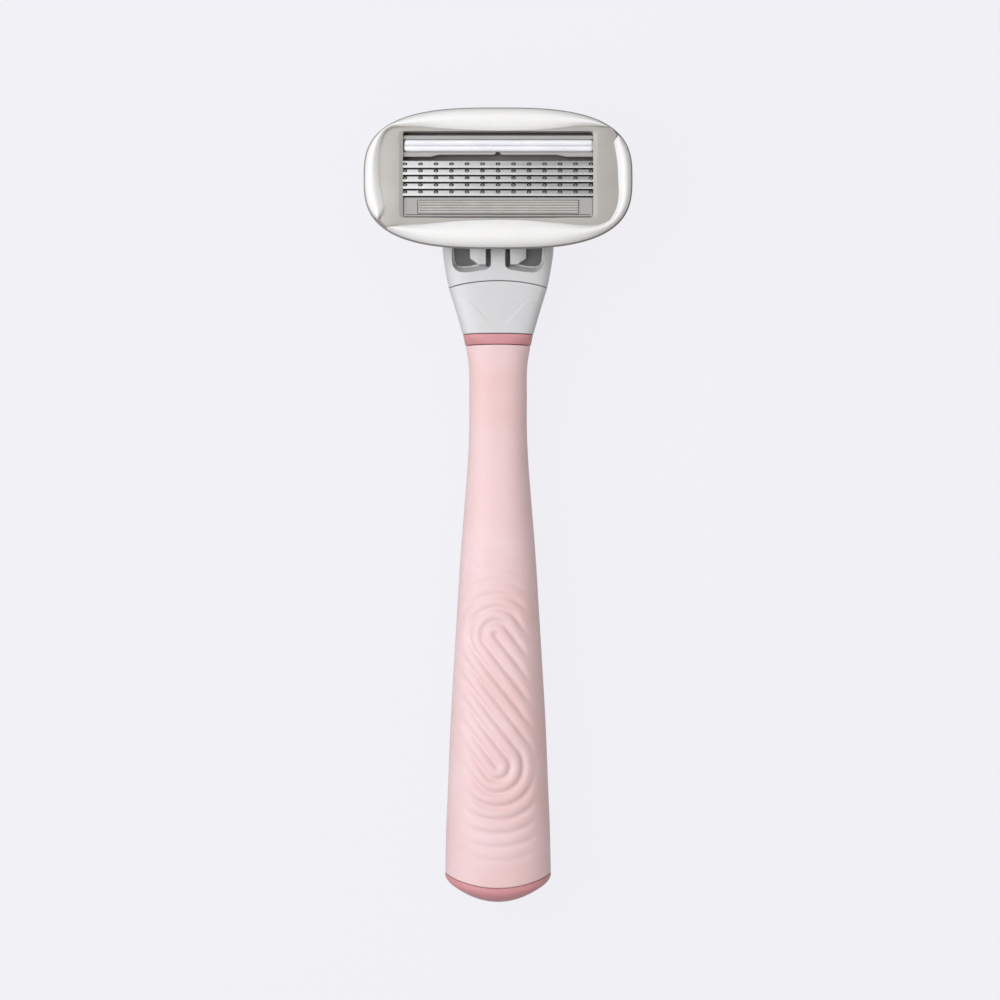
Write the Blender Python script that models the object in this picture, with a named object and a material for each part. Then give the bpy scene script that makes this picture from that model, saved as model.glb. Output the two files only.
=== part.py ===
"""A women's cartridge razor, lying on its back with the blades facing up.

Frame: +X to the right, +Y from the butt of the handle to the head, +Z out of the blades.
The origin is under the middle of the bounding box, on the surface that the razor lies on.
Every size below is in millimetres and is turned to metres as a mesh is made.
"""

import math

import bmesh
import bpy

MM = 0.001

# Whole razor
BUTT_END_Y = -70.45
CARTRIDGE_Y = 58.12  # middle of the cartridge's outline
SHAVING_PLANE_Z = 20.60  # where the cutting edges lie
PIVOT_Y = 53.10
PIVOT_Z = 12.30
PIECE_GAP = 0.15  # left between two pieces that touch on the real razor

# Handle stations: (y, half width, back z, front z). A back below 0 leaves a flat to lie on.
HANDLE_STATIONS = (
    (-67.5, 9.48, -0.55, 15.1),
    (-58.8, 9.31, -0.55, 15.4),
    (-50.6, 9.01, -0.55, 15.4),
    (-38.2, 8.52, -0.55, 15.0),
    (-25.9, 7.80, -0.55, 14.3),
    (-9.2, 6.79, -0.45, 12.9),
    (1.6, 5.95, 0.20, 12.1),
    (7.6, 5.48, 1.35, 11.9),
    (13.4, 5.19, 2.80, 12.2),
    (19.3, 5.17, 4.35, 13.1),
    (25.3, 5.22, 5.60, 14.0),
    (29.1, 5.80, 6.10, 14.7),
)
HANDLE_SQUARENESS = 2.4  # superellipse exponent of the handle's sections
SLEEVE_BUTT_Y = -67.5
SLEEVE_TOP_Y = 29.0
SLEEVE_WALL = 1.1
CORE_WALL = 1.0
CORE_BUTT_Y = -65.0
CORE_GAP = 0.3  # its flats and the sleeve's don't line up, so it needs more than the others
CORE_TOP_Y = 28.8
BUTT_BOW = 0.0234  # how far the butt seam sweeps up towards the sides, per mm squared
CAP_DOME = (4.05, 1.7)  # how far the cap's end sweeps up to its sides, and to its front and back

# Collar and neck head
COLLAR_Y = (29.15, 30.90)
NECK_Y = (31.05, 40.25)
NECK_HALF_WIDTH = (6.28, 8.73)
NECK_BACK_Z = (6.55, 6.95)
NECK_FRONT_Z = (15.0, 15.45)
NECK_SQUARENESS = 4.4
SEAM_BOW = -0.0155  # the neck's top seam is arched: it falls towards the sides
SPLIT_Z = 10.20  # the neck's front shell meets its back cover here
END_WALL_Y = 32.10
TANG_HALF = (2.35, 1.80)
TANG_BUTT_Y = 14.5
NOSE_HALF_WIDTH = 6.50
NOSE_TOP_Y = 46.0
NOSE_Z = (10.25, 12.20)

# Release mechanism
RELEASE_TRAVEL = 2.4
SLIDE_Z = (8.10, 9.80)
SLIDE_Y = (32.45, 33.80)
PRONG_X = (3.00, 4.60)
SPRING_WIRE = 0.14
SPRING_RADIUS = 0.72
SPRING_TURNS = 5.5

# Connector
CONNECTOR_HALF_WIDTH = 9.90
CONNECTOR_TOP_Y = 49.4
ARM_X = (8.30, 9.90)
EYE_RADIUS = 1.85
JOURNAL_RADIUS = 0.90
JOURNAL_INNER_X = 6.2
RIB_HALF_WIDTH = 1.32
WINDOW_FLOOR_Z = 13.35  # the front windows are blind, but for a slot beside the rib

# Cartridge, from the middle of its outline and its shaving plane
OUTLINE = (23.70, 12.48)
OUTLINE_SQUARENESS = 2.9
WINDOW = (16.90, 7.58)
WINDOW_CORNER = 0.5
WINDOW_SHIFT = 0.52
HOUSING_TOP_Z = -1.65
HOUSING_BACK_Z = -6.00
POCKET_FLOOR_Z = -3.40
LUG_X = (5.90, 7.60)
LUG_RADIUS = 1.95
BORE_RADIUS = 0.99
LOBE_INNER = (20.95, 8.95)
LOBE_INNER_SQUARENESS = 6.5
LOBE_SHIFT = 0.35
LOBE_PINCH = (0.123, 9.0)  # share of the height taken in, and how far along X it reaches
LOBE_BASE_Z = -1.10
LOBE_HEIGHT = 2.00
LOBE_GAP = (20.0, 24.3)  # direction of the grey bridge between the lobes, in degrees
STRIP_Y = (4.56, 6.64)
GUARD_Y = (-6.88, -3.50)
FINS_Y = (-6.35, -4.02)
BLADE_COUNT = 5
BLADE_PITCH = 1.233
FIRST_EDGE_Y = 1.71
BLADE_TILT = math.radians(21)
BLADE_WIDTH = 1.04
BLADE_BEVEL = 0.34
BLADE_FACES = (0.04, -0.06)  # upper and lower face, from the plane through the edge
BLADE_HALF_LENGTH = 18.3
SUPPORT_THICKNESS = 0.22
SUPPORT_FOOT_Z = -3.20


# ---------------------------------------------------------------- materials and objects
def material(name, colour, roughness, metallic=0.0):
    made = bpy.data.materials.new(name)
    made.use_nodes = True
    shader = made.node_tree.nodes["Principled BSDF"]
    shader.inputs["Base Color"].default_value = (*colour, 1.0)
    shader.inputs["Roughness"].default_value = roughness
    shader.inputs["Metallic"].default_value = metallic
    made.diffuse_color = (*colour, 1.0)
    return made


def frame_at(name, y, z):
    """An empty on a joint's axis, for the pieces that move about it."""
    empty = bpy.data.objects.new(name, None)
    empty.location = (0, y * MM, z * MM)
    bpy.context.scene.collection.objects.link(empty)
    return empty


def add_object(name, mesh, finish, parent, offset=(0, 0)):
    """Links a mesh as a node. offset is its (y, z) from the parent, in millimetres."""
    made = bpy.data.objects.new(name, mesh)
    bpy.context.scene.collection.objects.link(made)
    made.parent = parent
    made.location = (0, offset[0] * MM, offset[1] * MM)
    if finish:
        mesh.materials.append(finish)
    mesh.shade_smooth()
    mesh.set_sharp_from_angle(angle=math.radians(30))
    return made


def combine(target, mesh, operation):
    """Cuts a mesh out of the target, or joins it on, where the target stands."""
    tool = bpy.data.objects.new(f"{target.name}_{operation.lower()}", mesh)
    bpy.context.scene.collection.objects.link(tool)
    tool.parent = target.parent
    tool.location = target.location
    tool.hide_render = True
    tool.display_type = "WIRE"
    modifier = target.modifiers.new(operation.title(), "BOOLEAN")
    modifier.operation = operation
    modifier.solver = "EXACT"
    modifier.object = tool


def cut(target, *meshes):
    for mesh in meshes:
        combine(target, mesh, "DIFFERENCE")


def join(target, *meshes):
    for mesh in meshes:
        combine(target, mesh, "UNION")


# ---------------------------------------------------------------- shapes
def skin(rings, closed=False):
    """A mesh through rings of points, capped at both ends, or joined end to end if closed."""
    shape = bmesh.new()
    loops = [[shape.verts.new([c * MM for c in p]) for p in ring] for ring in rings]
    following = loops[1:] + loops[:1] if closed else loops[1:]
    for ring, after in zip(loops, following):
        for i, vertex in enumerate(ring):
            j = (i + 1) % len(ring)
            shape.faces.new((vertex, ring[j], after[j], after[i]))
    if not closed:
        shape.faces.new(loops[0])
        shape.faces.new(loops[-1])
    bmesh.ops.recalc_face_normals(shape, faces=shape.faces)
    mesh = bpy.data.meshes.new("shape")
    shape.to_mesh(mesh)
    shape.free()
    return mesh


def point_on(axis, u, v, w):
    """w along the axis, u and v along the other two in X, Y, Z order."""
    return {"X": (w, u, v), "Y": (u, w, v), "Z": (u, v, w)}[axis]


def prism(outline, axis, low, high):
    return skin([[point_on(axis, u, v, w) for u, v in outline] for w in (low, high)])


def block(x, y, z):
    corners = [(x[0], y[0]), (x[1], y[0]), (x[1], y[1]), (x[0], y[1])]
    return prism(corners, "Z", *z)


def arc(centre, radius, start, end, steps):
    """Points on an arc, in degrees, both ends included."""
    angles = [math.radians(start + (end - start) * i / steps) for i in range(steps + 1)]
    return [(centre[0] + radius * math.cos(a), centre[1] + radius * math.sin(a)) for a in angles]


def rod(axis, centre, radius, low, high, sides=20):
    return prism(arc(centre, radius, 0, 360 - 360 / sides, sides - 1), axis, low, high)


def mirrored(x):
    """The same span on the other side of the razor's middle plane."""
    return (-x[1], -x[0])


def smooth_through(stations, y):
    """The values at y on a smooth curve through the stations, whose first value is y."""
    last = len(stations) - 1
    i = max(0, min(last - 1, sum(s[0] <= y for s in stations) - 1))
    a, b = stations[i], stations[i + 1]
    before, after = stations[max(0, i - 1)], stations[min(last, i + 2)]
    span = b[0] - a[0]
    t = (y - a[0]) / span
    values = []
    for k in range(1, len(a)):
        slope_a = (b[k] - before[k]) / (b[0] - before[0])
        slope_b = (after[k] - a[k]) / (after[0] - a[0])
        values.append(
            (2 * t**3 - 3 * t**2 + 1) * a[k]
            + (t**3 - 2 * t**2 + t) * span * slope_a
            + (3 * t**2 - 2 * t**3) * b[k]
            + (t**3 - t**2) * span * slope_b
        )
    return values


def superellipse(half_x, half_y, squareness, sides):
    points = []
    for i in range(sides):
        c, s = math.cos(2 * math.pi * i / sides), math.sin(2 * math.pi * i / sides)
        x = math.copysign(abs(c) ** (2 / squareness), c) * half_x
        y = math.copysign(abs(s) ** (2 / squareness), s) * half_y
        points.append((x, y))
    return points


def section(y, half_width, back, front, squareness, sides, bow=0.0, floor=None):
    """One ring across the handle. bow moves it along Y with the square of x."""
    middle, half_depth = (back + front) / 2, (front - back) / 2
    ring = []
    for x, z in superellipse(half_width, half_depth, squareness, sides):
        height = z + middle if floor is None else max(floor, z + middle)
        ring.append((x, y + bow * x * x, height))
    return ring


def beyond_seam(y, bow, side):
    """A cutter for all that lies past a bowed seam, towards +Y if side is 1."""
    edge = [(x, y + bow * x * x) for x in evenly(-11, 11, 23)]
    return prism(edge + [(11, y + 12 * side), (-11, y + 12 * side)], "Z", -5, 25)


def evenly(low, high, count):
    return [low + (high - low) * i / (count - 1) for i in range(count)]


# ---------------------------------------------------------------- handle
def handle_ring(y, inset, sides, bow=0.0, floor=None):
    half_width, back, front = smooth_through(HANDLE_STATIONS, y)
    return section(
        y, half_width - inset, back + inset, front - inset, HANDLE_SQUARENESS, sides, bow, floor
    )


def butt_bow(y):
    """The bow of a ring near the butt. It fades out up the handle."""
    return BUTT_BOW * max(0.0, 1 - (y - SLEEVE_BUTT_Y) / 20)


def make_grip_sleeve(finish, parent):
    """The soft pink skin: a tube that is flat along its back, where the razor lies."""
    sides = 32
    heights = evenly(SLEEVE_BUTT_Y, SLEEVE_TOP_Y, 20)
    outer = [handle_ring(y, 0, sides, butt_bow(y), floor=0.0) for y in heights]
    inner = [handle_ring(y, SLEEVE_WALL, sides, butt_bow(y)) for y in reversed(heights)]
    return add_object("grip_sleeve", skin(outer + inner, closed=True), finish, parent)


def make_handle_core(finish, parent):
    """The rigid tube under the sleeve. It holds the counterweight and the neck's tang."""
    sides = 24
    outside = SLEEVE_WALL + CORE_GAP
    heights = evenly(CORE_BUTT_Y, CORE_TOP_Y, 14)
    outer = [handle_ring(y, outside, sides) for y in heights]
    inner = [handle_ring(y, outside + CORE_WALL, sides) for y in reversed(heights)]
    core = add_object("handle_core", skin(outer + inner, closed=True), finish, parent)
    cut(core, rod("X", retaining_pin_axis(), 0.85, -8, 8))
    return core


def retaining_pin_axis():
    y = 20.5
    _, back, front = smooth_through(HANDLE_STATIONS, y)
    return y, (back + front) / 2


def make_retaining_pin(finish, parent):
    """The steel pin across the core and the neck's tang, hidden under the sleeve."""
    mesh = rod("X", retaining_pin_axis(), 0.75, -3.6, 3.6, sides=16)
    return add_object("retaining_pin", mesh, finish, parent)


def make_counterweight(finish, parent):
    """A zinc bar in the core's lower half, which puts the balance point in the hand."""
    inset = SLEEVE_WALL + CORE_WALL + 2.3 * CORE_GAP
    rings = [handle_ring(y, inset, 24) for y in evenly(-55, -14, 7)]
    return add_object("counterweight", skin(rings), finish, parent)


def make_end_cap(finish, parent):
    """The domed rose cap, with a spigot that plugs the core."""
    half_width, back, front = smooth_through(HANDLE_STATIONS, SLEEVE_BUTT_Y)
    middle, half_depth = (back + front) / 2, (front - back) / 2
    rim = section(-63.0, half_width, back, front, HANDLE_SQUARENESS, 36, floor=0.0)
    rings = [rim]
    for share in (1.0, 0.96, 0.86, 0.70, 0.50, 0.30, 0.10):
        ring = []
        for x, _, z in rim:
            across, up = x / half_width * share, (z - middle) / half_depth * share
            y = BUTT_END_Y + CAP_DOME[0] * across**2 + CAP_DOME[1] * up**4
            ring.append((x * share, y, middle + (z - middle) * share))
        rings.append(ring)
    cap = add_object("end_cap", skin(rings), finish, parent)
    cut(cap, beyond_seam(SLEEVE_BUTT_Y - PIECE_GAP, BUTT_BOW, 1))
    spigot_inset = SLEEVE_WALL + CORE_GAP + CORE_WALL + PIECE_GAP
    join(cap, skin([handle_ring(y, spigot_inset, 24) for y in (-68.3, -64.0, -60.0)]))
    return cap


def make_collar_ring(finish, parent):
    """The rose ring between the sleeve and the neck."""
    sides = 32
    low, high = COLLAR_Y
    bottom = (5.85, 6.00, 14.74)
    top = (6.23, 6.45, 14.96)
    outer = [
        section(low, *bottom, HANDLE_SQUARENESS, sides),
        section(high, *top, NECK_SQUARENESS, sides),
    ]
    hole = (3.1, 7.9, 13.1)
    inner = [section(y, *hole, NECK_SQUARENESS, sides) for y in (high, low)]
    return add_object("collar_ring", skin(outer + inner, closed=True), finish, parent)


# ---------------------------------------------------------------- neck head
def neck_body():
    """The neck's outside, a little longer than it ends up: its arched seam is cut later."""
    rings = []
    for y in (NECK_Y[0], NECK_Y[1] + 0.5):
        share = (y - NECK_Y[0]) / (NECK_Y[1] - NECK_Y[0])
        width, back, front = (
            pair[0] + (pair[1] - pair[0]) * share
            for pair in (NECK_HALF_WIDTH, NECK_BACK_Z, NECK_FRONT_Z)
        )
        rings.append(section(y, width, back, front, NECK_SQUARENESS, 40))
    return skin(rings)


def make_neck_front_shell(finish, parent):
    """The visible grey throat, with the tang below it and the docking nose above it."""
    shell = add_object("neck_front_shell", neck_body(), finish, parent)
    cut(shell, beyond_seam(NECK_Y[1], SEAM_BOW, 1))
    cut(shell, block((-12, 12), (END_WALL_Y, 50), (0, SPLIT_Z)))
    tang = []
    for y in evenly(TANG_BUTT_Y, 31.6, 7):
        _, back, front = smooth_through(HANDLE_STATIONS, min(y, 29.1))
        middle = (back + front) / 2
        low, high = middle - TANG_HALF[1], middle + TANG_HALF[1]
        tang.append(section(y, TANG_HALF[0], low, high, HANDLE_SQUARENESS, 20))
    nose_side = [
        (38.0, NOSE_Z[0]),
        (NOSE_TOP_Y, NOSE_Z[0]),
        (NOSE_TOP_Y, NOSE_Z[1] - 0.9),
        (42.0, NOSE_Z[1] + 0.6),
        (38.0, NOSE_Z[1] + 0.6),
    ]
    join(shell, skin(tang), prism(nose_side, "X", -NOSE_HALF_WIDTH, NOSE_HALF_WIDTH))
    cut(shell, rod("X", retaining_pin_axis(), 0.85, -8, 8))
    return shell


def make_neck_back_cover(finish, parent):
    """The back half of the neck: a tray for the release slide, with a slot for its button."""
    cover = add_object("neck_back_cover", neck_body(), finish, parent)
    above = block((-12, 12), (20, 50), (SPLIT_Z - PIECE_GAP, 20))
    below = block((-12, 12), (20, END_WALL_Y + PIECE_GAP), (0, 20))
    floor_z = SLIDE_Z[0] - 0.25
    tray = block((-4.9, 4.9), (END_WALL_Y, 42), (floor_z, 12))
    slot = block((-2.0, 2.0), (32.9, 38.35), (5, 9))
    cut(cover, beyond_seam(NECK_Y[1], SEAM_BOW, 1), above, below, tray, slot)
    join(cover, block((-1.8, 1.8), (38.6, 39.3), (floor_z - 0.3, SPLIT_Z - 0.3)))
    return cover


def make_release_slide(finish, parent, home):
    """The pusher: its two prongs bear on the connector and push it off the nose."""
    slide = add_object("release_slide", block((-4.6, 4.6), SLIDE_Y, SLIDE_Z), finish, parent, home)
    for span in (PRONG_X, mirrored(PRONG_X)):
        join(slide, block(span, (SLIDE_Y[0], 39.75), SLIDE_Z))
    join(slide, block((-1.7, 1.7), (33.2, 35.4), (7.3, SLIDE_Z[0] - 0.1)))
    join(slide, block((-1.7, 1.7), (33.2, SLIDE_Y[1] - 0.1), (7.4, SLIDE_Z[0] + 0.2)))
    cut(slide, block((-0.8, 0.8), (33.9, 34.6), (6, 7.9)))
    return slide


def make_release_button(finish, parent, home):
    """The ribbed thumb pad on the back of the neck, clipped to the slide by its stem."""
    pad = [(31.6, 6.35), (31.9, 5.55), (32.6, 5.30)]
    for i in range(4):
        y = 33.1 + 0.75 * i
        pad += [(y, 5.30), (y + 0.2, 5.60), (y + 0.4, 5.30)]
    pad += [(36.6, 5.30), (37.1, 5.60), (37.3, 6.35)]
    button = add_object("release_button", prism(pad, "X", -3.1, 3.1), finish, parent, home)
    join(button, block((-1.7, 1.7), (33.2, 35.4), (6.0, 7.15)))
    join(button, block((-0.65, 0.65), (34.05, 34.45), (6.8, 7.7)))
    return button


def make_release_spring(finish, parent, home):
    """The compression spring that returns the slide, between it and the cover's rib."""
    low, high = SLIDE_Y[1] + PIECE_GAP + SPRING_WIRE, 38.6 - PIECE_GAP - SPRING_WIRE
    centre_z = (SLIDE_Z[0] + SLIDE_Z[1]) / 2
    steps = round(SPRING_TURNS * 10)
    rings = []
    for i in range(steps + 1):
        turn = 2 * math.pi * SPRING_TURNS * i / steps
        y = low + (high - low) * i / steps
        ring = []
        for across, along in arc((SPRING_RADIUS, y), SPRING_WIRE, 0, 300, 5):
            ring.append((across * math.cos(turn), along, centre_z + across * math.sin(turn)))
        rings.append(ring)
    return add_object("release_spring", skin(rings), finish, parent, home)


# ---------------------------------------------------------------- connector
def make_connector(finish, parent, home):
    """The yoke that stays with the cartridge: socket, front windows, latch fingers, arms."""
    stations = (
        (38.6, 8.36, 6.87, 15.37),
        (42.2, 9.16, 7.15, 15.60),
        (44.2, 9.56, 7.60, 15.55),
        (46.2, CONNECTOR_HALF_WIDTH, 8.40, 14.90),
        (48.0, CONNECTOR_HALF_WIDTH, 9.40, 14.20),
        (CONNECTOR_TOP_Y, CONNECTOR_HALF_WIDTH, 10.10, 13.80),
    )
    rings = [section(*station, NECK_SQUARENESS, 40) for station in stations]
    yoke = add_object("connector_yoke", skin(rings), finish, parent, home)
    cut(yoke, beyond_seam(NECK_Y[1] + PIECE_GAP, SEAM_BOW, -1))
    socket = block((-6.8, 6.8), (38, NOSE_TOP_Y + 0.4), (NOSE_Z[0] - 0.3, NOSE_Z[1] + 0.95))
    cut(yoke, socket)
    windows = [
        (RIB_HALF_WIDTH, 42.45),
        (2.2, 42.20),
        (5.6, 41.85),
        (6.7, 41.85),
        (7.5, 42.15),
        (7.95, 42.90),
        (8.25, 46.60),
        (RIB_HALF_WIDTH, 46.60),
    ]
    for side in (1, -1):
        cut(yoke, prism([(x * side, y) for x, y in windows], "Z", WINDOW_FLOOR_Z, 18))
        x = (RIB_HALF_WIDTH, 2.10) if side > 0 else (-2.10, -RIB_HALF_WIDTH)
        cut(yoke, block(x, (43.4, 46.6), (NOSE_Z[1] - 1.0, 18)))
    finger = [(2.10, 47.0), (2.10, 43.15), (3.50, 43.15), (5.00, 44.35), (5.00, 47.0)]
    for side in (1, -1):
        join(yoke, prism([(x * side, y) for x, y in finger], "Z", WINDOW_FLOOR_Z - 0.1, 14.95))
    arm = [(48.0, 9.9), (48.0, 13.9)]
    arm += arc((PIVOT_Y, PIVOT_Z), EYE_RADIUS, 90, -90, 12)
    for span in (ARM_X, mirrored(ARM_X)):
        join(yoke, prism(arm, "X", *span))
    for span in ((JOURNAL_INNER_X, 8.6), (-8.6, -JOURNAL_INNER_X)):
        join(yoke, rod("X", (PIVOT_Y, PIVOT_Z), JOURNAL_RADIUS, *span, sides=16))
    return yoke


def make_return_tongue(finish, parent, home):
    """The elastomer leaf that presses on the cartridge's back and swings it home."""
    leaf = [(49.6, 11.6), (49.6, 13.0), (53.0, 13.4), (57.0, 14.35), (58.2, 14.35), (58.2, 13.6)]
    leaf += [(53.0, 12.2)]
    return add_object("return_tongue", prism(leaf, "X", -3.2, 3.2), finish, parent, home)


# ---------------------------------------------------------------- cartridge
def directions(low=0.0, high=360.0, count=72):
    """Directions round the cartridge, in radians, packed towards its corners."""
    even = [math.radians(a) for a in evenly(low, high, count)]
    half_x, half_y = WINDOW
    return [math.atan2(math.sin(a) * half_y, math.cos(a) * half_x) for a in even]


def reach(direction, half, squareness):
    """The point of a superellipse in a direction."""
    c, s = math.cos(direction), math.sin(direction)
    radius = (abs(c / half[0]) ** squareness + abs(s / half[1]) ** squareness) ** (-1 / squareness)
    return radius * c, radius * s


def outline_point(direction, shrink=0.0):
    half = (OUTLINE[0] - shrink, OUTLINE[1] - shrink)
    return reach(direction, half, OUTLINE_SQUARENESS)


def lobe_inner_point(direction):
    """The lobes' inner edge: a soft rectangle, pinched in the middle of its long sides."""
    x, y = reach(direction, LOBE_INNER, LOBE_INNER_SQUARENESS)
    depth, spread = LOBE_PINCH
    return x, y * (1 - depth * math.exp(-((x / spread) ** 2))) + LOBE_SHIFT


def window_point(direction):
    """The window's edge in a direction: a rectangle with rounded corners."""
    c, s = math.cos(direction), math.sin(direction)
    radius = min(WINDOW[0] / max(abs(c), 1e-9), WINDOW[1] / max(abs(s), 1e-9))
    corner = (WINDOW[0] - WINDOW_CORNER, WINDOW[1] - WINDOW_CORNER)
    if abs(radius * c) > corner[0] and abs(radius * s) > corner[1]:
        along = abs(c) * corner[0] + abs(s) * corner[1]
        outside = corner[0] ** 2 + corner[1] ** 2 - WINDOW_CORNER**2
        radius = along + math.sqrt(along**2 - outside)
    return radius * c, radius * s + WINDOW_SHIFT


def between(a, b, share):
    return tuple(p + (q - p) * share for p, q in zip(a, b))


def make_housing(finish, parent, home):
    """The bowl-shaped moulding that carries everything in the cartridge."""
    levels = (
        (HOUSING_BACK_Z, 4.3),
        (-5.35, 2.5),
        (-3.70, 0.8),
        (-2.20, 0.1),
        (HOUSING_TOP_Z, 0.0),
    )
    around = directions(count=57)[:-1]
    rings = [[(*outline_point(a, shrink), z) for a in around] for z, shrink in levels]
    housing = add_object("cartridge_housing", skin(rings), finish, parent, home)
    cut(housing, block((-17.1, 17.1), (-7.2, 8.0), (POCKET_FLOOR_Z, 0)))
    for span in ((-17.1, -6.4), (-5.2, 5.2), (6.4, 17.1)):
        cut(housing, block(span, (-2.8, 3.2), (-7, -3)))
    for k in range(BLADE_COUNT):
        leg = support_profile(k)[2][0] - SUPPORT_THICKNESS / 2
        cut(housing, block((-18.5, 18.5), (leg - 0.2, leg + 0.2), (-3.3, 0)))
    pivot = (PIVOT_Y - CARTRIDGE_Y, PIVOT_Z - SHAVING_PLANE_Z)
    lug = [(pivot[0] + 2.6, -5.4), (pivot[0] - 2.4, -5.4)]
    lug += arc(pivot, LUG_RADIUS, 180, 360, 12)
    for span in (LUG_X, mirrored(LUG_X)):
        join(housing, prism(lug, "X", *span))
    cut(housing, rod("X", pivot, BORE_RADIUS, -9, 9, sides=16))
    return housing


def make_bezel(finish, parent, home):
    """The grey frame round the window. It holds the blade ends down and carries the lobes."""
    around = directions(count=73)[:-1]
    flange = [outline_point(a, 0.4) for a in around]
    lobe = [lobe_inner_point(a) for a in around]
    window = [window_point(a) for a in around]
    low, ledge = HOUSING_TOP_Z + 0.05, LOBE_BASE_Z - 0.1
    rings = [
        [(*p, low) for p in flange],
        [(*p, ledge) for p in flange],
        [(*between(p, q, 0.12), ledge) for p, q in zip(lobe, flange)],
        [(*between(p, q, 0.03), 0.0) for p, q in zip(lobe, window)],
        [(*between(p, q, 0.55), 0.40) for p, q in zip(lobe, window)],
        [(*between(p, q, 0.94), 0.45) for p, q in zip(lobe, window)],
        [(*p, 0.25) for p in window],
        [(*p, low) for p in window],
    ]
    bezel = add_object("bezel_frame", skin(rings, closed=True), finish, parent, home)
    cut(bezel, block((-18.5, 18.5), (-3.6, 3.4), (-2, 0.12)))
    return bezel


def make_lobe(name, start, finish, parent, home):
    """One soft white lobe, swept round half of the cartridge between the two bridges."""
    first, last = start + LOBE_GAP[1], start + 180 + LOBE_GAP[0]
    count = 44
    rings = []
    for i, degrees in enumerate(evenly(first, last, count)):
        a = math.radians(degrees)
        inner = between(lobe_inner_point(a), outline_point(a), 0.14)
        outer = outline_point(a, 0.12)
        from_end = min(i, count - 1 - i)
        fullness = math.sqrt(min(1.0, (from_end + 0.6) / 4))
        middle = between(inner, outer, 0.5)
        inner, outer = between(middle, inner, fullness), between(middle, outer, fullness)
        ring = []
        for share in (0.0, 0.0, 0.12, 0.35, 0.65, 0.88, 1.0, 1.0):
            swell = math.sqrt(max(0.0, 1 - (2 * share - 1) ** 2))
            edge = LOBE_BASE_Z + 0.55 * fullness
            z = edge + (LOBE_HEIGHT - 0.55) * fullness * swell
            ring.append((*between(inner, outer, share), z))
        ring[0] = (*inner, LOBE_BASE_Z)
        ring[-1] = (*outer, LOBE_BASE_Z)
        rings.append(ring)
    return add_object(name, skin(rings), finish, parent, home)


def make_strip_carrier(finish, parent, home):
    """The grey bar behind the blades. Its groove holds the lubricating strip."""
    half, step, notch = 16.7, 3.68, 0.5
    raised = step + 0.35
    plan = [(-half, step), (-11.9, step), (-10.4, raised), (-0.8, raised)]
    plan += arc((0, raised), notch, 150, 30, 4)
    plan += [(0.8, raised), (10.4, raised), (11.9, step), (half, step), (half, 7.4), (-half, 7.4)]
    carrier = add_object("strip_carrier", prism(plan, "Z", -3.25, -0.5), finish, parent, home)
    cut(carrier, block((-20, 20), (STRIP_Y[0] - 0.08, STRIP_Y[1] + 0.08), (-1.5, 1)))
    return carrier


def make_lubricating_strip(finish, parent, home):
    """The white strip, with two rounded ridges along it."""
    low, high = STRIP_Y
    ridge = (high - low) / 4
    profile = [(high, -1.4), (low, -1.4)]
    for middle in (low + ridge, high - ridge):
        profile += arc((middle, -0.42), ridge, 180, 0, 8)
    return add_object("lubricating_strip", prism(profile, "X", -16.5, 16.5), finish, parent, home)


def make_guard_bar(finish, parent, home):
    """The hard bar in front of the blades, with a pocket for the rubber fins."""
    bar = block((-16.65, 16.65), GUARD_Y, (-3.25, -0.35))
    guard = add_object("guard_bar", bar, finish, parent, home)
    cut(guard, block((-14.2, 14.2), (FINS_Y[0] - 0.08, FINS_Y[1] + 0.08), (-1.6, 1)))
    cut(guard, block((-16.2, 16.2), (-6.58, -6.46), (-0.9, 1)))
    return guard


def make_rubber_guard(finish, parent, home):
    """The rubber insert, whose fins stretch the skin ahead of the blades."""
    fins = 5
    pitch = (FINS_Y[1] - FINS_Y[0]) / fins
    profile = [(FINS_Y[1], -1.5)]
    for i in range(fins):
        y = FINS_Y[1] - pitch * i
        profile += [(y, -0.35), (y - 0.14, -0.05), (y - 0.28, -0.05)]
    profile += [(FINS_Y[0], -0.35), (FINS_Y[0], -1.5)]
    return add_object("rubber_guard", prism(profile, "X", -14.1, 14.1), finish, parent, home)


def blade_frame(k):
    """The edge of blade k, the way back from it along the blade, and the blade's normal."""
    edge = (FIRST_EDGE_Y - BLADE_PITCH * k, 0.0)
    back = (math.cos(BLADE_TILT), -math.sin(BLADE_TILT))
    normal = (math.sin(BLADE_TILT), math.cos(BLADE_TILT))
    return edge, back, normal


def on_blade(k, distance, height):
    edge, back, normal = blade_frame(k)
    return tuple(edge[i] + back[i] * distance + normal[i] * height for i in (0, 1))


def support_profile(k):
    """The bent support of blade k: a ramp under the blade and a leg down into the housing."""
    top = BLADE_FACES[1] - 0.05
    under = top - SUPPORT_THICKNESS
    rear = on_blade(k, BLADE_WIDTH, top)
    leg_y = rear[0] - SUPPORT_THICKNESS
    meet = on_blade(k, 0, under)
    meet_z = meet[1] - (leg_y - meet[0]) * math.tan(BLADE_TILT)
    return [
        on_blade(k, BLADE_BEVEL + 0.05, top),
        rear,
        (rear[0], SUPPORT_FOOT_Z),
        (leg_y, SUPPORT_FOOT_Z),
        (leg_y, meet_z),
        on_blade(k, BLADE_BEVEL + 0.05, under),
    ]


def make_blade(k, steel, bright, parent, home):
    """Blade k, counted from the strip, and the bent support that it is welded to."""
    upper, lower = BLADE_FACES
    profile = [
        on_blade(k, 0, 0),
        on_blade(k, BLADE_BEVEL, upper),
        on_blade(k, BLADE_WIDTH, upper),
        on_blade(k, BLADE_WIDTH, lower),
        on_blade(k, BLADE_BEVEL, lower),
    ]
    half = BLADE_HALF_LENGTH
    add_object(f"blade_{k + 1}", prism(profile, "X", -half, half), bright, parent, home)
    support = prism(support_profile(k), "X", -half, half)
    add_object(f"blade_support_{k + 1}", support, steel, parent, home)


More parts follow.
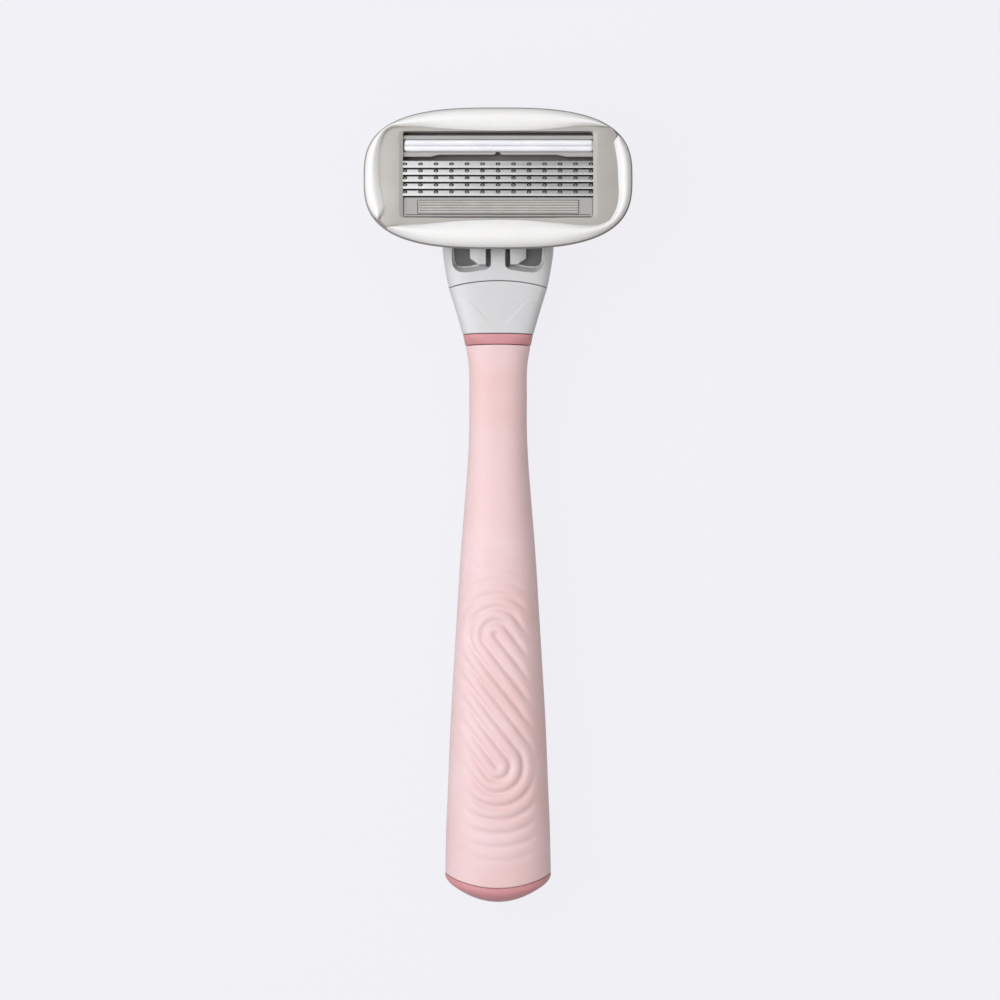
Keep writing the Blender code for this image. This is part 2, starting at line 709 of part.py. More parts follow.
# ---------------------------------------------------------------- assembly
def main():
    for leftover in list(bpy.data.objects):
        bpy.data.objects.remove(leftover)

    blush = material("blush_elastomer", (0.80, 0.55, 0.55), 0.55)
    rose = material("rose_abs", (0.62, 0.26, 0.27), 0.4)
    cream = material("core_abs", (0.75, 0.70, 0.68), 0.5)
    zinc = material("zinc_alloy", (0.45, 0.46, 0.48), 0.45, 1.0)
    steel = material("stainless_steel", (0.55, 0.56, 0.58), 0.3, 1.0)
    bright = material("honed_steel", (0.80, 0.80, 0.82), 0.15, 1.0)
    grey = material("light_grey_abs", (0.60, 0.60, 0.60), 0.4)
    warm_grey = material("warm_grey_abs", (0.50, 0.48, 0.46), 0.4)
    white = material("white_elastomer", (0.85, 0.85, 0.84), 0.35)
    strip_white = material("lubricating_white", (0.88, 0.87, 0.90), 0.3)
    fin_grey = material("fin_rubber", (0.52, 0.52, 0.50), 0.6)

    handle = frame_at("handle_frame", 0, 0)
    make_grip_sleeve(blush, handle)
    make_handle_core(cream, handle)
    make_counterweight(zinc, handle)
    make_retaining_pin(steel, handle)
    make_end_cap(rose, handle)
    make_collar_ring(rose, handle)
    make_neck_front_shell(grey, handle)
    make_neck_back_cover(grey, handle)

    slide_z = (SLIDE_Z[0] + SLIDE_Z[1]) / 2
    release = frame_at("release_axis", SLIDE_Y[0], slide_z)
    release_home = (-SLIDE_Y[0], -slide_z)
    make_release_slide(grey, release, release_home)
    make_release_button(grey, release, release_home)
    make_release_spring(steel, release, release_home)

    dock_z = sum(NOSE_Z) / 2
    dock = frame_at("docking_axis", NECK_Y[1], dock_z)
    dock_home = (-NECK_Y[1], -dock_z)
    make_connector(grey, dock, dock_home)
    make_return_tongue(white, dock, dock_home)

    pivot = frame_at("cartridge_pivot_axis", PIVOT_Y, PIVOT_Z)
    home = (CARTRIDGE_Y - PIVOT_Y, SHAVING_PLANE_Z - PIVOT_Z)
    make_housing(warm_grey, pivot, home)
    make_bezel(warm_grey, pivot, home)
    make_lobe("glide_lobe_upper", 0, white, pivot, home)
    make_lobe("glide_lobe_lower", 180, white, pivot, home)
    make_strip_carrier(grey, pivot, home)
    make_lubricating_strip(strip_white, pivot, home)
    make_guard_bar(grey, pivot, home)
    make_rubber_guard(fin_grey, pivot, home)
    for k in range(BLADE_COUNT):
        make_blade(k, steel, bright, pivot, home)


main()
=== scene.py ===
"""A five-blade cartridge razor, lying on its back on a pale studio table.

Every size below is in millimetres in the razor's own frame: +X to the right, +Y from the butt
of the handle to the head, +Z out of the blades, and 0 under the middle of the razor. The
cartridge's pieces are drawn from the middle of its outline and its shaving plane.
"""

import logging
import math
from collections.abc import Iterable, Sequence
from dataclasses import dataclass
from enum import Enum

import bpy
import numpy as np
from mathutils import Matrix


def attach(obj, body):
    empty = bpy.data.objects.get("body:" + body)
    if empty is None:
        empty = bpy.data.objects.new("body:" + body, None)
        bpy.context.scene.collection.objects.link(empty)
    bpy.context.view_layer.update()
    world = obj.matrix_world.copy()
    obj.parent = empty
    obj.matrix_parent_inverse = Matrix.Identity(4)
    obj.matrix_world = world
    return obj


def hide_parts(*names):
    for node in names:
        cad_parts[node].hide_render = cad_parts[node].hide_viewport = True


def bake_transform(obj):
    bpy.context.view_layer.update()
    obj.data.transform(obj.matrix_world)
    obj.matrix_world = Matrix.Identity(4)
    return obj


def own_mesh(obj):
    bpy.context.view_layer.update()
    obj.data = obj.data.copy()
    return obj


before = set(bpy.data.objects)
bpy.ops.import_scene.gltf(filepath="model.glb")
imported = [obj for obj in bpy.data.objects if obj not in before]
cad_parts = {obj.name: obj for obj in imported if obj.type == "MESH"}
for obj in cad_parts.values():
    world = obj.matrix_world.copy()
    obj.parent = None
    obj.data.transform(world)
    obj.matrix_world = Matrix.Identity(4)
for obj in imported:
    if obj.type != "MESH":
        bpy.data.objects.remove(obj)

LOG = logging.getLogger("razor")
MM = 0.001
GAP = 0.12  # left between two mouldings that meet at a seam
NO_FLOOR = -9.0  # a floor so low that it cuts nothing off
Points = np.ndarray
Outline = Sequence[tuple[float, float]]


class Side(Enum):
    """The two sides of the razor's middle plane."""

    LEFT = -1
    RIGHT = 1


class Axis(Enum):
    """The axes, named for what runs along them on the razor."""

    ACROSS = "X"
    ALONG = "Y"
    UP = "Z"


# ---------------------------------------------------------------- colours and nodes
def linear(colour: str) -> tuple[float, float, float, float]:
    """An sRGB hex colour as linear RGBA."""
    shares = [int(colour[i : i + 2], 16) / 255 for i in (1, 3, 5)]
    red, green, blue = (s / 12.92 if s <= 0.04045 else ((s + 0.055) / 1.055) ** 2.4 for s in shares)
    return (red, green, blue, 1.0)


def add_node(tree: bpy.types.NodeTree, kind: str, inputs: dict | None = None, **settings) -> bpy.types.Node:
    """Adds one node to a tree.

    Args:
        tree: the node tree.
        kind: the node's type, such as ShaderNodeBump.
        inputs: for each input's name or number, a value, or the socket to link to it.
        settings: the node's own settings.

    Returns:
        The new node.
    """
    node = tree.nodes.new(kind)
    for name, value in settings.items():
        setattr(node, name, value)
    for socket, value in (inputs or {}).items():
        if isinstance(value, bpy.types.NodeSocket):
            tree.links.new(value, node.inputs[socket])
        else:
            node.inputs[socket].default_value = value
    return node


@dataclass(frozen=True)
class Finish:
    """What every finish has. Its material is made once, the first time that it is asked for."""

    name: str
    slot: str
    colour: str
    roughness: float

    def material(self) -> bpy.types.Material:
        """The Blender material of this finish."""
        made = bpy.data.materials.get(self.name)
        if made is None:
            made = bpy.data.materials.new(self.name)
            made.use_nodes = True
            made.diffuse_color = linear(self.colour)
            tree = made.node_tree
            tree.nodes.clear()
            shader = add_node(tree, "ShaderNodeBsdfPrincipled", {"Base Color": linear(self.colour)})
            self.lay(tree, shader)
            add_node(tree, "ShaderNodeOutputMaterial", {"Surface": shader.outputs[0]})
        return made

    def lay(self, tree: bpy.types.NodeTree, shader: bpy.types.Node) -> None:
        """Lays the finish's own pattern. Each kind of finish has its own."""
        raise NotImplementedError

    def noise(
        self, tree: bpy.types.NodeTree, grain: tuple[float, float, float], detail: float = 2.0
    ) -> bpy.types.NodeSocket:
        """A noise that follows the piece.

        Args:
            tree: the material's tree.
            grain: how large the noise's features are along X, Y and Z, in millimetres.
            detail: how many finer octaves it has.

        Returns:
            The noise's value, about 0.25 to 0.75.
        """
        place = add_node(tree, "ShaderNodeTexCoord").outputs["Object"]
        scale = tuple(1 / (g * MM) for g in grain)
        sized = add_node(tree, "ShaderNodeMapping", {"Vector": place, "Scale": scale})
        inputs = {"Vector": sized.outputs[0], "Scale": 1.0, "Detail": detail, "Roughness": 0.55}
        return add_node(tree, "ShaderNodeTexNoise", inputs).outputs[0]

    def spread(
        self, tree: bpy.types.NodeTree, value: bpy.types.NodeSocket, low: float, high: float
    ) -> bpy.types.NodeSocket:
        """Turns a noise of 0.3 to 0.7 into a value from low to high."""
        inputs = {"Value": value, "From Min": 0.3, "From Max": 0.7, "To Min": low, "To Max": high}
        return add_node(tree, "ShaderNodeMapRange", inputs).outputs[0]

    def mixed(
        self, tree: bpy.types.NodeTree, share: bpy.types.NodeSocket, first: object, second: object
    ) -> bpy.types.NodeSocket:
        """The colour between two colours or colour sockets."""
        inputs = {0: share, 6: first, 7: second}
        return add_node(tree, "ShaderNodeMix", inputs, data_type="RGBA").outputs[2]

    def raised(
        self,
        tree: bpy.types.NodeTree,
        height: bpy.types.NodeSocket,
        depth: float,
        under: bpy.types.NodeSocket | None = None,
    ) -> bpy.types.NodeSocket:
        """A bump of this depth in millimetres, over another bump if there is one."""
        inputs = {"Height": height, "Distance": depth * MM, "Strength": 1.0}
        if under is not None:
            inputs["Normal"] = under
        return add_node(tree, "ShaderNodeBump", inputs).outputs[0]


@dataclass(frozen=True)
class Moulded(Finish):
    """A moulded plastic or elastomer: faint clouds in the colour, the mould's texture and a
    slow waviness where it shrank as it cooled."""

    cloud: str = "#808080"
    cloud_mm: float = 9.0
    grain_mm: float = 0.4
    grain_depth: float = 0.002
    wave_mm: float = 6.0
    wave_depth: float = 0.01
    ior: float = 1.53
    subsurface: float = 0.0
    subsurface_mm: float = 1.0
    sheen: float = 0.0
    coat: float = 0.0

    def lay(self, tree: bpy.types.NodeTree, shader: bpy.types.Node) -> None:
        """Clouds in the colour, uneven gloss and two layers of bump."""
        clouds = self.noise(tree, (self.cloud_mm,) * 3)
        specks = self.noise(tree, (self.grain_mm * 3,) * 3)
        share = self.spread(tree, clouds, 0.0, 1.0)
        tinted = self.mixed(tree, share, linear(self.colour), linear(self.cloud))
        faint = self.spread(tree, specks, 0.0, 0.12)
        speckled = self.mixed(tree, faint, tinted, linear(self.cloud))
        gloss = self.spread(tree, specks, self.roughness - 0.04, self.roughness + 0.05)
        wave = self.raised(tree, self.noise(tree, (self.wave_mm,) * 3, 1.0), self.wave_depth)
        grain = self.noise(tree, (self.grain_mm,) * 3)
        normal = self.raised(tree, grain, self.grain_depth, wave)
        for name, socket in (("Base Color", speckled), ("Roughness", gloss), ("Normal", normal)):
            tree.links.new(socket, shader.inputs[name])
        shader.inputs["IOR"].default_value = self.ior
        shader.inputs["Subsurface Weight"].default_value = self.subsurface
        shader.inputs["Subsurface Radius"].default_value = (1.0, 0.6, 0.5)
        shader.inputs["Subsurface Scale"].default_value = self.subsurface_mm * MM
        shader.inputs["Sheen Weight"].default_value = self.sheen
        shader.inputs["Sheen Roughness"].default_value = 0.5
        shader.inputs["Coat Weight"].default_value = self.coat
        shader.inputs["Coat Roughness"].default_value = 0.2


@dataclass(frozen=True)
class Metal(Finish):
    """A worked metal. Its scratches or grains are short or long along each axis."""

    stain: str = "#808080"
    grain: tuple[float, float, float] = (6.0, 0.06, 0.06)
    grain_depth: float = 0.0004
    uneven: float = 0.06
    anisotropic: float = 0.0
    stain_share: float = 0.35

    def lay(self, tree: bpy.types.NodeTree, shader: bpy.types.Node) -> None:
        """Work marks in the bump and the gloss, and a faint stain in the colour."""
        marks = self.noise(tree, self.grain, 3.0)
        stains = self.noise(tree, (self.grain[0] * 1.6, 2.5, 2.5))
        share = self.spread(tree, stains, 0.0, self.stain_share)
        colour = self.mixed(tree, share, linear(self.colour), linear(self.stain))
        streak = self.spread(tree, marks, 0.0, 0.25)
        colour = self.mixed(tree, streak, colour, linear(self.stain))
        gloss = self.spread(tree, marks, self.roughness - self.uneven, self.roughness + self.uneven)
        normal = self.raised(tree, marks, self.grain_depth)
        for name, socket in (("Base Color", colour), ("Roughness", gloss), ("Normal", normal)):
            tree.links.new(socket, shader.inputs[name])
        shader.inputs["Metallic"].default_value = 1.0
        shader.inputs["Anisotropic"].default_value = self.anisotropic


@dataclass(frozen=True)
class PaleTable(Finish):
    """The matt studio table. It is lit from below, so the razor's shadow on it stays faint,
    and less of its glow reaches the razor than the eye."""

    glow: float = 0.965
    spill: float = 0.5

    def lay(self, tree: bpy.types.NodeTree, shader: bpy.types.Node) -> None:
        """An even colour with a paper-like tooth of about a millimetre."""
        tooth = self.noise(tree, (1.2, 1.2, 1.2))
        faint = self.spread(tree, tooth, 0.0, 0.01)
        tinted = self.mixed(tree, faint, linear(self.colour), linear("#E6E5EA"))
        tree.links.new(tinted, shader.inputs["Emission Color"])
        seen = add_node(tree, "ShaderNodeLightPath").outputs["Is Camera Ray"]
        inputs = {"Value": seen, "To Min": self.spill, "To Max": self.glow}
        glow = add_node(tree, "ShaderNodeMapRange", inputs).outputs[0]
        tree.links.new(glow, shader.inputs["Emission Strength"])
        shader.inputs["Base Color"].default_value = linear("#3A3A3C")
        shader.inputs["Roughness"].default_value = self.roughness
        shader.inputs["Specular IOR Level"].default_value = 0.0


# Thermoplastic elastomer over the handle, from a finely textured mould: matt, a little
# translucent, so its ridges keep soft shadows.
BLUSH_ELASTOMER = Moulded(
    "blush_elastomer_satin", "blush_elastomer", "#EDD2D4", 0.52, cloud="#E8C6C4", cloud_mm=14,
    grain_mm=0.45, grain_depth=0.0025, wave_mm=9, wave_depth=0.012, ior=1.48,
    subsurface=0.2, subsurface_mm=0.8, sheen=0.12,
)
# Mass-coloured ABS from a polished mould: an even satin gloss on the collar and the cap.
ROSE_ABS = Moulded(
    "rose_abs_moulded", "rose_abs", "#D49598", 0.36, cloud="#CF9093", cloud_mm=7,
    grain_depth=0.0015, subsurface=0.06, subsurface_mm=0.5,
)
# The same process in light grey: the neck, the connector and the release.
LIGHT_GREY_ABS = Moulded(
    "light_grey_abs_moulded", "light_grey_abs", "#D2D2D2", 0.40, cloud="#CDCDCE", cloud_mm=8,
    subsurface=0.05, subsurface_mm=0.5,
)
# Warm grey ABS from a sparked mould: the cartridge's housing and its bezel.
WARM_GREY_ABS = Moulded(
    "warm_grey_abs_moulded", "warm_grey_abs", "#B2AEA8", 0.42, cloud="#ABA7A1", cloud_mm=6,
)
# The housing under it is the same resin, coloured darker as painted shade on the thin rim that shows round the
# lobes.
HOUSING_PAINTED_SHADE_ABS = Moulded(
    "housing_abs_painted_shade", "warm_grey_abs", "#8B8781", 0.44, cloud="#85817B", cloud_mm=6,
)
# Window seats of the yoke: finely textured resin, coloured dark grey as painted shade on the floors of the deep
# windows.
PAINTED_SHADE_SEAT_ABS = Moulded(
    "seat_abs_painted_shade", "light_grey_abs", "#646362", 0.55, cloud="#5C5B5A", cloud_mm=3,
    grain_mm=0.25, grain_depth=0.003,
)
# Guard bar and strip carrier: a cooler grey of the same resin, from a cleaner mould.
PALE_BAR_ABS = Moulded(
    "pale_bar_abs_moulded", "light_grey_abs", "#A9A7A4", 0.42, cloud="#A3A19E", cloud_mm=6,
)
# Styrenic elastomer lobes: nearly white, soft to the eye as light goes into them.
WHITE_ELASTOMER = Moulded(
    "white_elastomer_moulded", "white_elastomer", "#EFEFED", 0.38, cloud="#EBEBE8", cloud_mm=10,
    grain_depth=0.0012, wave_depth=0.006, ior=1.49, subsurface=0.25, subsurface_mm=0.7,
)
# Extruded polyethylene-oxide blend: waxy, a little translucent, with faint cool clouds.
LUBRICATING_POLYMER = Moulded(
    "lubricating_polymer_extruded", "lubricating_white", "#F3F3F6", 0.34, cloud="#E9E9EE",
    cloud_mm=4, grain_mm=0.5, grain_depth=0.002, subsurface=0.3, subsurface_mm=0.8, coat=0.15,
)
# Overmoulded rubber fins: matt, faintly dusty grey.
FIN_RUBBER = Moulded(
    "fin_rubber_moulded", "fin_rubber", "#C4C3BE", 0.60, cloud="#BBBAB4", cloud_mm=3,
    grain_depth=0.003, ior=1.50,
)
# Unpainted ABS of the inner tube, which nobody sees: creamy, with coarser mould marks.
CREAM_ABS = Moulded(
    "cream_abs_moulded", "core_abs", "#DDD6CE", 0.5, cloud="#D2CAC0", cloud_mm=7,
    grain_mm=0.6, grain_depth=0.004,
)
# Martensitic strip steel, ground along the blade: marks too fine to see are drawn 0.05 mm wide.
GROUND_STEEL = Metal(
    "blade_steel_ground", "honed_steel", "#CACAC9", 0.24, stain="#ABABA9",
    grain=(9.0, 0.05, 0.05), grain_depth=0.0003, anisotropic=0.3,
)
# Cold-rolled and bent support strips: dull steel, coloured darker than bare steel as painted shade in the gaps
# between the blades.
ROLLED_STEEL_PAINTED_SHADE = Metal(
    "support_steel_rolled_painted_shade", "stainless_steel", "#8F8F8C", 0.42, stain="#5F5D56",
    grain=(4.0, 0.09, 0.09), grain_depth=0.0006,
)
# Blued ring that a laser weld leaves, and the bright nugget inside it.
WELD_OXIDE = Metal(
    "weld_oxide_heat_tinted", "stainless_steel", "#242321", 0.6, stain="#3F3C37",
    grain=(0.2, 0.2, 0.2), grain_depth=0.002,
)
WELD_NUGGET = Metal(
    "weld_nugget_as_cast", "stainless_steel", "#A9A9A7", 0.34, stain="#7C7A75",
    grain=(0.15, 0.15, 0.15), grain_depth=0.002,
)
# Drawn spring wire and pin.
DRAWN_STEEL = Metal(
    "spring_wire_drawn", "stainless_steel", "#B9BABC", 0.30, stain="#8E8F91",
    grain=(0.5, 0.5, 0.5), grain_depth=0.0008,
)
# Die-cast zinc weight: dull, with a cast skin.
ZINC_CAST = Metal(
    "zinc_die_cast", "zinc_alloy", "#A4A6A8", 0.48, stain="#85888B",
    grain=(0.5, 0.5, 0.5), grain_depth=0.006, uneven=0.1,
)
TABLE = PaleTable("studio_table_matt", "", "#F0EFF4", 0.9)


# ---------------------------------------------------------------- meshes
def evenly(low: float, high: float, count: int) -> np.ndarray:
    """Evenly spaced values, both ends included."""
    return np.linspace(low, high, count)


def smoothstep(t: np.ndarray | float) -> np.ndarray:
    """0 below 0, 1 above 1, and smooth between."""
    t = np.clip(t, 0.0, 1.0)
    return t * t * (3 - 2 * t)


def superellipse(half_x: float, half_y: float, squareness: float, count: int) -> Points:
    """A superellipse's outline as (count, 2) points an even way apart, from the +X side."""
    t = np.linspace(0, 2 * np.pi, 1441)
    c, s = np.cos(t), np.sin(t)
    x = np.sign(c) * np.abs(c) ** (2 / squareness) * half_x
    y = np.sign(s) * np.abs(s) ** (2 / squareness) * half_y
    return resampled(np.stack([x, y], 1), count, closed=True)


def resampled(points: Points, count: int, closed: bool = False) -> Points:
    """The same line with its points an even way apart."""
    points = np.asarray(points, float)
    run = np.concatenate([[0], np.cumsum(np.linalg.norm(np.diff(points, axis=0), axis=1))])
    at = np.linspace(0, run[-1], count, endpoint=not closed)
    return np.stack([np.interp(at, run, points[:, k]) for k in range(points.shape[1])], 1)


def through(points: Sequence[Sequence[float]], steps: int = 8) -> Points:
    """A smooth open line through the points, centripetal so that it doesn't overshoot."""
    p = np.asarray(points, float)
    p = np.vstack([2 * p[0] - p[1], p, 2 * p[-1] - p[-2]])
    line = []
    for i in range(1, len(p) - 2):
        knots = [0.0]
        for a, b in zip(p[i - 1 : i + 2], p[i : i + 3]):
            knots.append(knots[-1] + max(1e-6, float(np.linalg.norm(b - a))) ** 0.5)
        t0, t1, t2, t3 = knots
        for t in np.linspace(t1, t2, steps, endpoint=False):
            a1 = (t1 - t) / (t1 - t0) * p[i - 1] + (t - t0) / (t1 - t0) * p[i]
            a2 = (t2 - t) / (t2 - t1) * p[i] + (t - t1) / (t2 - t1) * p[i + 1]
            a3 = (t3 - t) / (t3 - t2) * p[i + 1] + (t - t2) / (t3 - t2) * p[i + 2]
            b1 = (t2 - t) / (t2 - t0) * a1 + (t - t0) / (t2 - t0) * a2
            b2 = (t3 - t) / (t3 - t1) * a2 + (t - t1) / (t3 - t1) * a3
            line.append((t2 - t) / (t2 - t1) * b1 + (t - t1) / (t2 - t1) * b2)
    line.append(p[-2])
    return np.array(line)


def arc(centre: tuple[float, float], radius: float, start: float, end: float, steps: int) -> list:
    """Points on an arc between two directions in degrees, both ends included."""
    turn = np.radians(np.linspace(start, end, steps + 1))
    return [(centre[0] + radius * math.cos(a), centre[1] + radius * math.sin(a)) for a in turn]


def mesh_of(points: Points, faces: list[tuple[int, ...]]) -> bpy.types.Mesh:
    """A mesh in metres from points in millimetres, with its faces turned outwards."""
    mesh = bpy.data.meshes.new("shape")
    mesh.from_pydata((np.asarray(points) * MM).tolist(), [], faces)
    corners = np.asarray(points)
    volume = 0.0
    for face in faces:
        a = corners[face[0]]
        for i in range(1, len(face) - 1):
            volume += float(np.dot(a, np.cross(corners[face[i]], corners[face[i + 1]])))
    if volume < 0:
        mesh.flip_normals()
    mesh.validate()
    return mesh


def loft(rings: Sequence[Points], closed: bool = False) -> bpy.types.Mesh:
    """A skin through rings of points.

    Args:
        rings: rings with the same number of points, in millimetres.
        closed: whether the last ring joins the first. If not, both ends are capped.

    Returns:
        The closed mesh, facing outwards.
    """
    stack = np.asarray(rings, float)
    count, sides = stack.shape[:2]
    number = np.arange(count * sides).reshape(count, sides)
    if closed:
        number = np.vstack([number, number[:1]])
    turned = np.roll(number, -1, axis=1)
    quads = np.stack([number[:-1], turned[:-1], turned[1:], number[1:]], -1).reshape(-1, 4)
    points = stack.reshape(-1, 3)
    a, b, c, d = (points[quads[:, k]] for k in range(4))
    volume = np.einsum("ij,ij->", a, np.cross(b, c)) + np.einsum("ij,ij->", a, np.cross(c, d))
    faces = [tuple(q) for q in quads.tolist()]
    if not closed:
        for cap in (number[0][::-1], number[-1]):
            ring = points[cap]
            start = np.broadcast_to(ring[0], ring.shape)
            volume += np.einsum("ij,ij->", start, np.cross(ring, np.roll(ring, -1, 0)))
            faces.append(tuple(cap.tolist()))
    mesh = bpy.data.meshes.new("shape")
    mesh.from_pydata((points * MM).tolist(), [], faces)
    if volume < 0:
        mesh.flip_normals()
    return mesh


def prism(outline: Outline | Points, axis: Axis, low: float, high: float) -> bpy.types.Mesh:
    """An outline swept along an axis. Its two numbers are the other axes', in X, Y, Z order."""
    flat = np.asarray(outline, float)
    rings = []
    for end in (low, high):
        columns = [flat[:, 0], flat[:, 1]]
        columns.insert("XYZ".index(axis.value), np.full(len(flat), end))
        rings.append(np.stack(columns, 1))
    return loft(rings)


def block(x: tuple, y: tuple, z: tuple) -> bpy.types.Mesh:
    """A box between two values on each axis, for cutting and joining."""
    return prism([(x[0], y[0]), (x[1], y[0]), (x[1], y[1]), (x[0], y[1])], Axis.UP, *z)


def rod(centre: tuple[float, float], radius: float, low: float, high: float, sides: int = 40) -> bpy.types.Mesh:
    """A round bar across the razor, for cutting and joining."""
    return prism(arc(centre, radius, 0, 360 - 360 / sides, sides - 1), Axis.ACROSS, low, high)


def mirrored(span: tuple[float, float], side: Side) -> tuple[float, float]:
    """A span of X on the side asked for."""
    low, high = sorted(x * side.value for x in span)
    return low, high


def moved(mesh: bpy.types.Mesh, y: float, z: float) -> bpy.types.Mesh:
    """The mesh moved along Y and Z by millimetres."""
    co = np.empty(len(mesh.vertices) * 3)
    mesh.vertices.foreach_get("co", co)
    co = co.reshape(-1, 3) + np.array([0, y, z]) * MM
    mesh.vertices.foreach_set("co", co.ravel())
    mesh.update()
    return mesh


def shaped(
    mesh: bpy.types.Mesh,
    joins: Iterable[bpy.types.Mesh] = (),
    cuts: Iterable[bpy.types.Mesh] = (),
    bevel: float = 0.0,
    segments: int = 3,
) -> bpy.types.Mesh:
    """Joins, cuts and rounds a mesh.

    Args:
        mesh: the mesh to start from.
        joins: meshes joined on, first.
        cuts: meshes then cut out.
        bevel: the radius of its edges over 35 degrees, in millimetres.
        segments: faces across each rounded edge.

    Returns:
        The new mesh.
    """
    helpers = []

    def helper(data: bpy.types.Mesh) -> bpy.types.Object:
        """A temporary object of a mesh, removed at the end."""
        made = bpy.data.objects.new("helper", data)
        bpy.context.scene.collection.objects.link(made)
        helpers.append(made)
        return made

    base = helper(mesh)
    for operation, tools in (("UNION", joins), ("DIFFERENCE", cuts)):
        for tool in tools:
            step = base.modifiers.new("step", "BOOLEAN")
            step.operation, step.solver, step.object = operation, "EXACT", helper(tool)
    if bevel:
        mesh.shade_smooth()
        round_off = base.modifiers.new("round", "BEVEL")
        round_off.width, round_off.segments = bevel * MM, segments
        round_off.limit_method, round_off.angle_limit = "ANGLE", math.radians(35)
        round_off.harden_normals = True
    graph = bpy.context.evaluated_depsgraph_get()
    made = bpy.data.meshes.new_from_object(base.evaluated_get(graph), depsgraph=graph)
    for used in helpers:
        bpy.data.objects.remove(used)
    return made


def place(
    name: str,
    mesh: bpy.types.Mesh,
    finish: Finish,
    body: str | None,
    stands_for: Sequence[str] = (),
    smooth: float = 32.0,
) -> bpy.types.Object:
    """Makes a piece of a mesh.

    Args:
        name: the piece's name.
        mesh: its mesh, in the razor's frame.
        finish: what it is made of.
        body: the body that it moves with, or None if it is bent between two.
        stands_for: the plain solids that it stands for.
        smooth: edges sharper than this many degrees stay sharp.

    Returns:
        The piece.
    """
    mesh.materials.clear()
    mesh.materials.append(finish.material())
    mesh.name = name
    piece = bpy.data.objects.new(name, mesh)
    bpy.context.scene.collection.objects.link(piece)
    if not mesh.has_custom_normals:
        mesh.shade_smooth()
        mesh.set_sharp_from_angle(angle=math.radians(smooth))
    if body:
        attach(piece, body)
    if stands_for:
        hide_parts(*stands_for)
    LOG.info("%s: %d faces, %s, moves with %s", name, len(mesh.polygons), finish.name, body)
    return piece


# ---------------------------------------------------------------- handle
@dataclass(frozen=True)
class HandleForm:
    """The handle's outside: a superellipse that changes along its length."""

    stations: tuple = (
        (-67.5, 9.48, -0.55, 15.1),
        (-58.8, 9.31, -0.55, 15.4),
        (-50.6, 9.01, -0.55, 15.4),
        (-38.2, 8.52, -0.55, 15.0),
        (-25.9, 7.80, -0.55, 14.3),
        (-9.2, 6.79, -0.45, 12.9),
        (1.6, 5.95, 0.20, 12.1),
        (7.6, 5.48, 1.35, 11.9),
        (13.4, 5.19, 2.80, 12.2),
        (19.3, 5.17, 4.35, 13.1),
        (25.3, 5.22, 5.60, 14.0),
        (29.1, 5.80, 6.10, 14.7),
    )
    squareness: float = 2.4

    def at(self, y: float) -> Points:
        """The half width, back and front at y."""
        s = self.stations
        last = len(s) - 1
        i = max(0, min(last - 1, sum(row[0] <= y for row in s) - 1))
        a, b = np.array(s[i]), np.array(s[i + 1])
        before, after = np.array(s[max(0, i - 1)]), np.array(s[min(last, i + 2)])
        span = b[0] - a[0]
        t = (y - a[0]) / span
        slope_a = (b - before) / (b[0] - before[0])
        slope_b = (after - a) / (after[0] - a[0])
        return (
            (2 * t**3 - 3 * t**2 + 1) * a
            + (t**3 - 2 * t**2 + t) * span * slope_a
            + (3 * t**2 - 2 * t**3) * b
            + (t**3 - t**2) * span * slope_b
        )[1:]

    def ring(self, y: float, inset: float, sides: int, bow: float = 0.0, flat: bool = True) -> Points:
        """One ring across the handle.

        Args:
            y: its place along the handle.
            inset: how far it lies inside the outside.
            sides: how many points it has.
            bow: how far it sweeps along Y with the square of x.
            flat: whether its back is cut off flat where the razor lies.

        Returns:
            Its points, (sides, 3).
        """
        width, back, front = self.at(y)
        size = (width - inset, back + inset, front - inset)
        return section(y, size, self.squareness, sides, bow, 0.0 if flat else NO_FLOOR)


def section(
    y: float, size: Sequence[float], squareness: float, sides: int, bow: float = 0.0, floor: float = NO_FLOOR
) -> Points:
    """A superellipse across the razor.

    Args:
        y: its place along the razor.
        size: its half width, back and front.
        squareness: its exponent, 2 for an ellipse.
        sides: how many points it has.
        bow: how far it sweeps along Y with the square of x.
        floor: the height under which it is cut off flat.

    Returns:
        Its points, (sides, 3).
    """
    width, back, front = size
    flat = superellipse(width, (front - back) / 2, squareness, sides)
    height = np.maximum(floor, flat[:, 1] + (back + front) / 2)
    return np.stack([flat[:, 0], y + bow * flat[:, 0] ** 2, height], 1)


@dataclass(frozen=True)
class GripRelief:
    """The ridges pressed into the grip: even ripples round two points that lie askew."""

    upper: tuple[float, float] = (-0.53, -22.6)
    lower: tuple[float, float] = (-0.20, -45.85)
    direction: tuple[float, float] = (0.6225, -0.7826)
    spacing: float = 2.4
    depth: float = 0.52
    sharpness: float = 1.9
    half_span: float = 3.9
    lean: tuple[float, float] = (-1.0, 0.8)

    def distance(self, x: Points, y: Points, start: tuple[float, float], sign: float) -> Points:
        """How far each point is from the half line from start."""
        dx, dy = x - start[0], y - start[1]
        ux, uy = self.direction[0] * sign, self.direction[1] * sign
        along = dx * ux + dy * uy
        return np.where(along > 0, np.abs(dx * uy - dy * ux), np.hypot(dx, dy))

    def depth_at(self, x: Points, y: Points) -> Points:
        """How deep the relief is pressed in at each point, in millimetres."""
        near = np.minimum(self.distance(x, y, self.upper, 1), self.distance(x, y, self.lower, -1))
        ripple = ((1 + np.cos(2 * np.pi * near / self.spacing)) / 2) ** self.sharpness
        top = 1 - smoothstep((y + 26) / 28)
        bottom = smoothstep((y + 66) / 8)
        middle = self.lean[0] + (self.lean[1] - self.lean[0]) * smoothstep((-20 - y) / 38)
        beside = 1 - 0.93 * smoothstep((np.abs(x - middle) - self.half_span) / 2.8)
        far = 1 - 0.5 * smoothstep((near - 4.6) / 9)
        return self.depth * ripple * top * bottom * beside * far


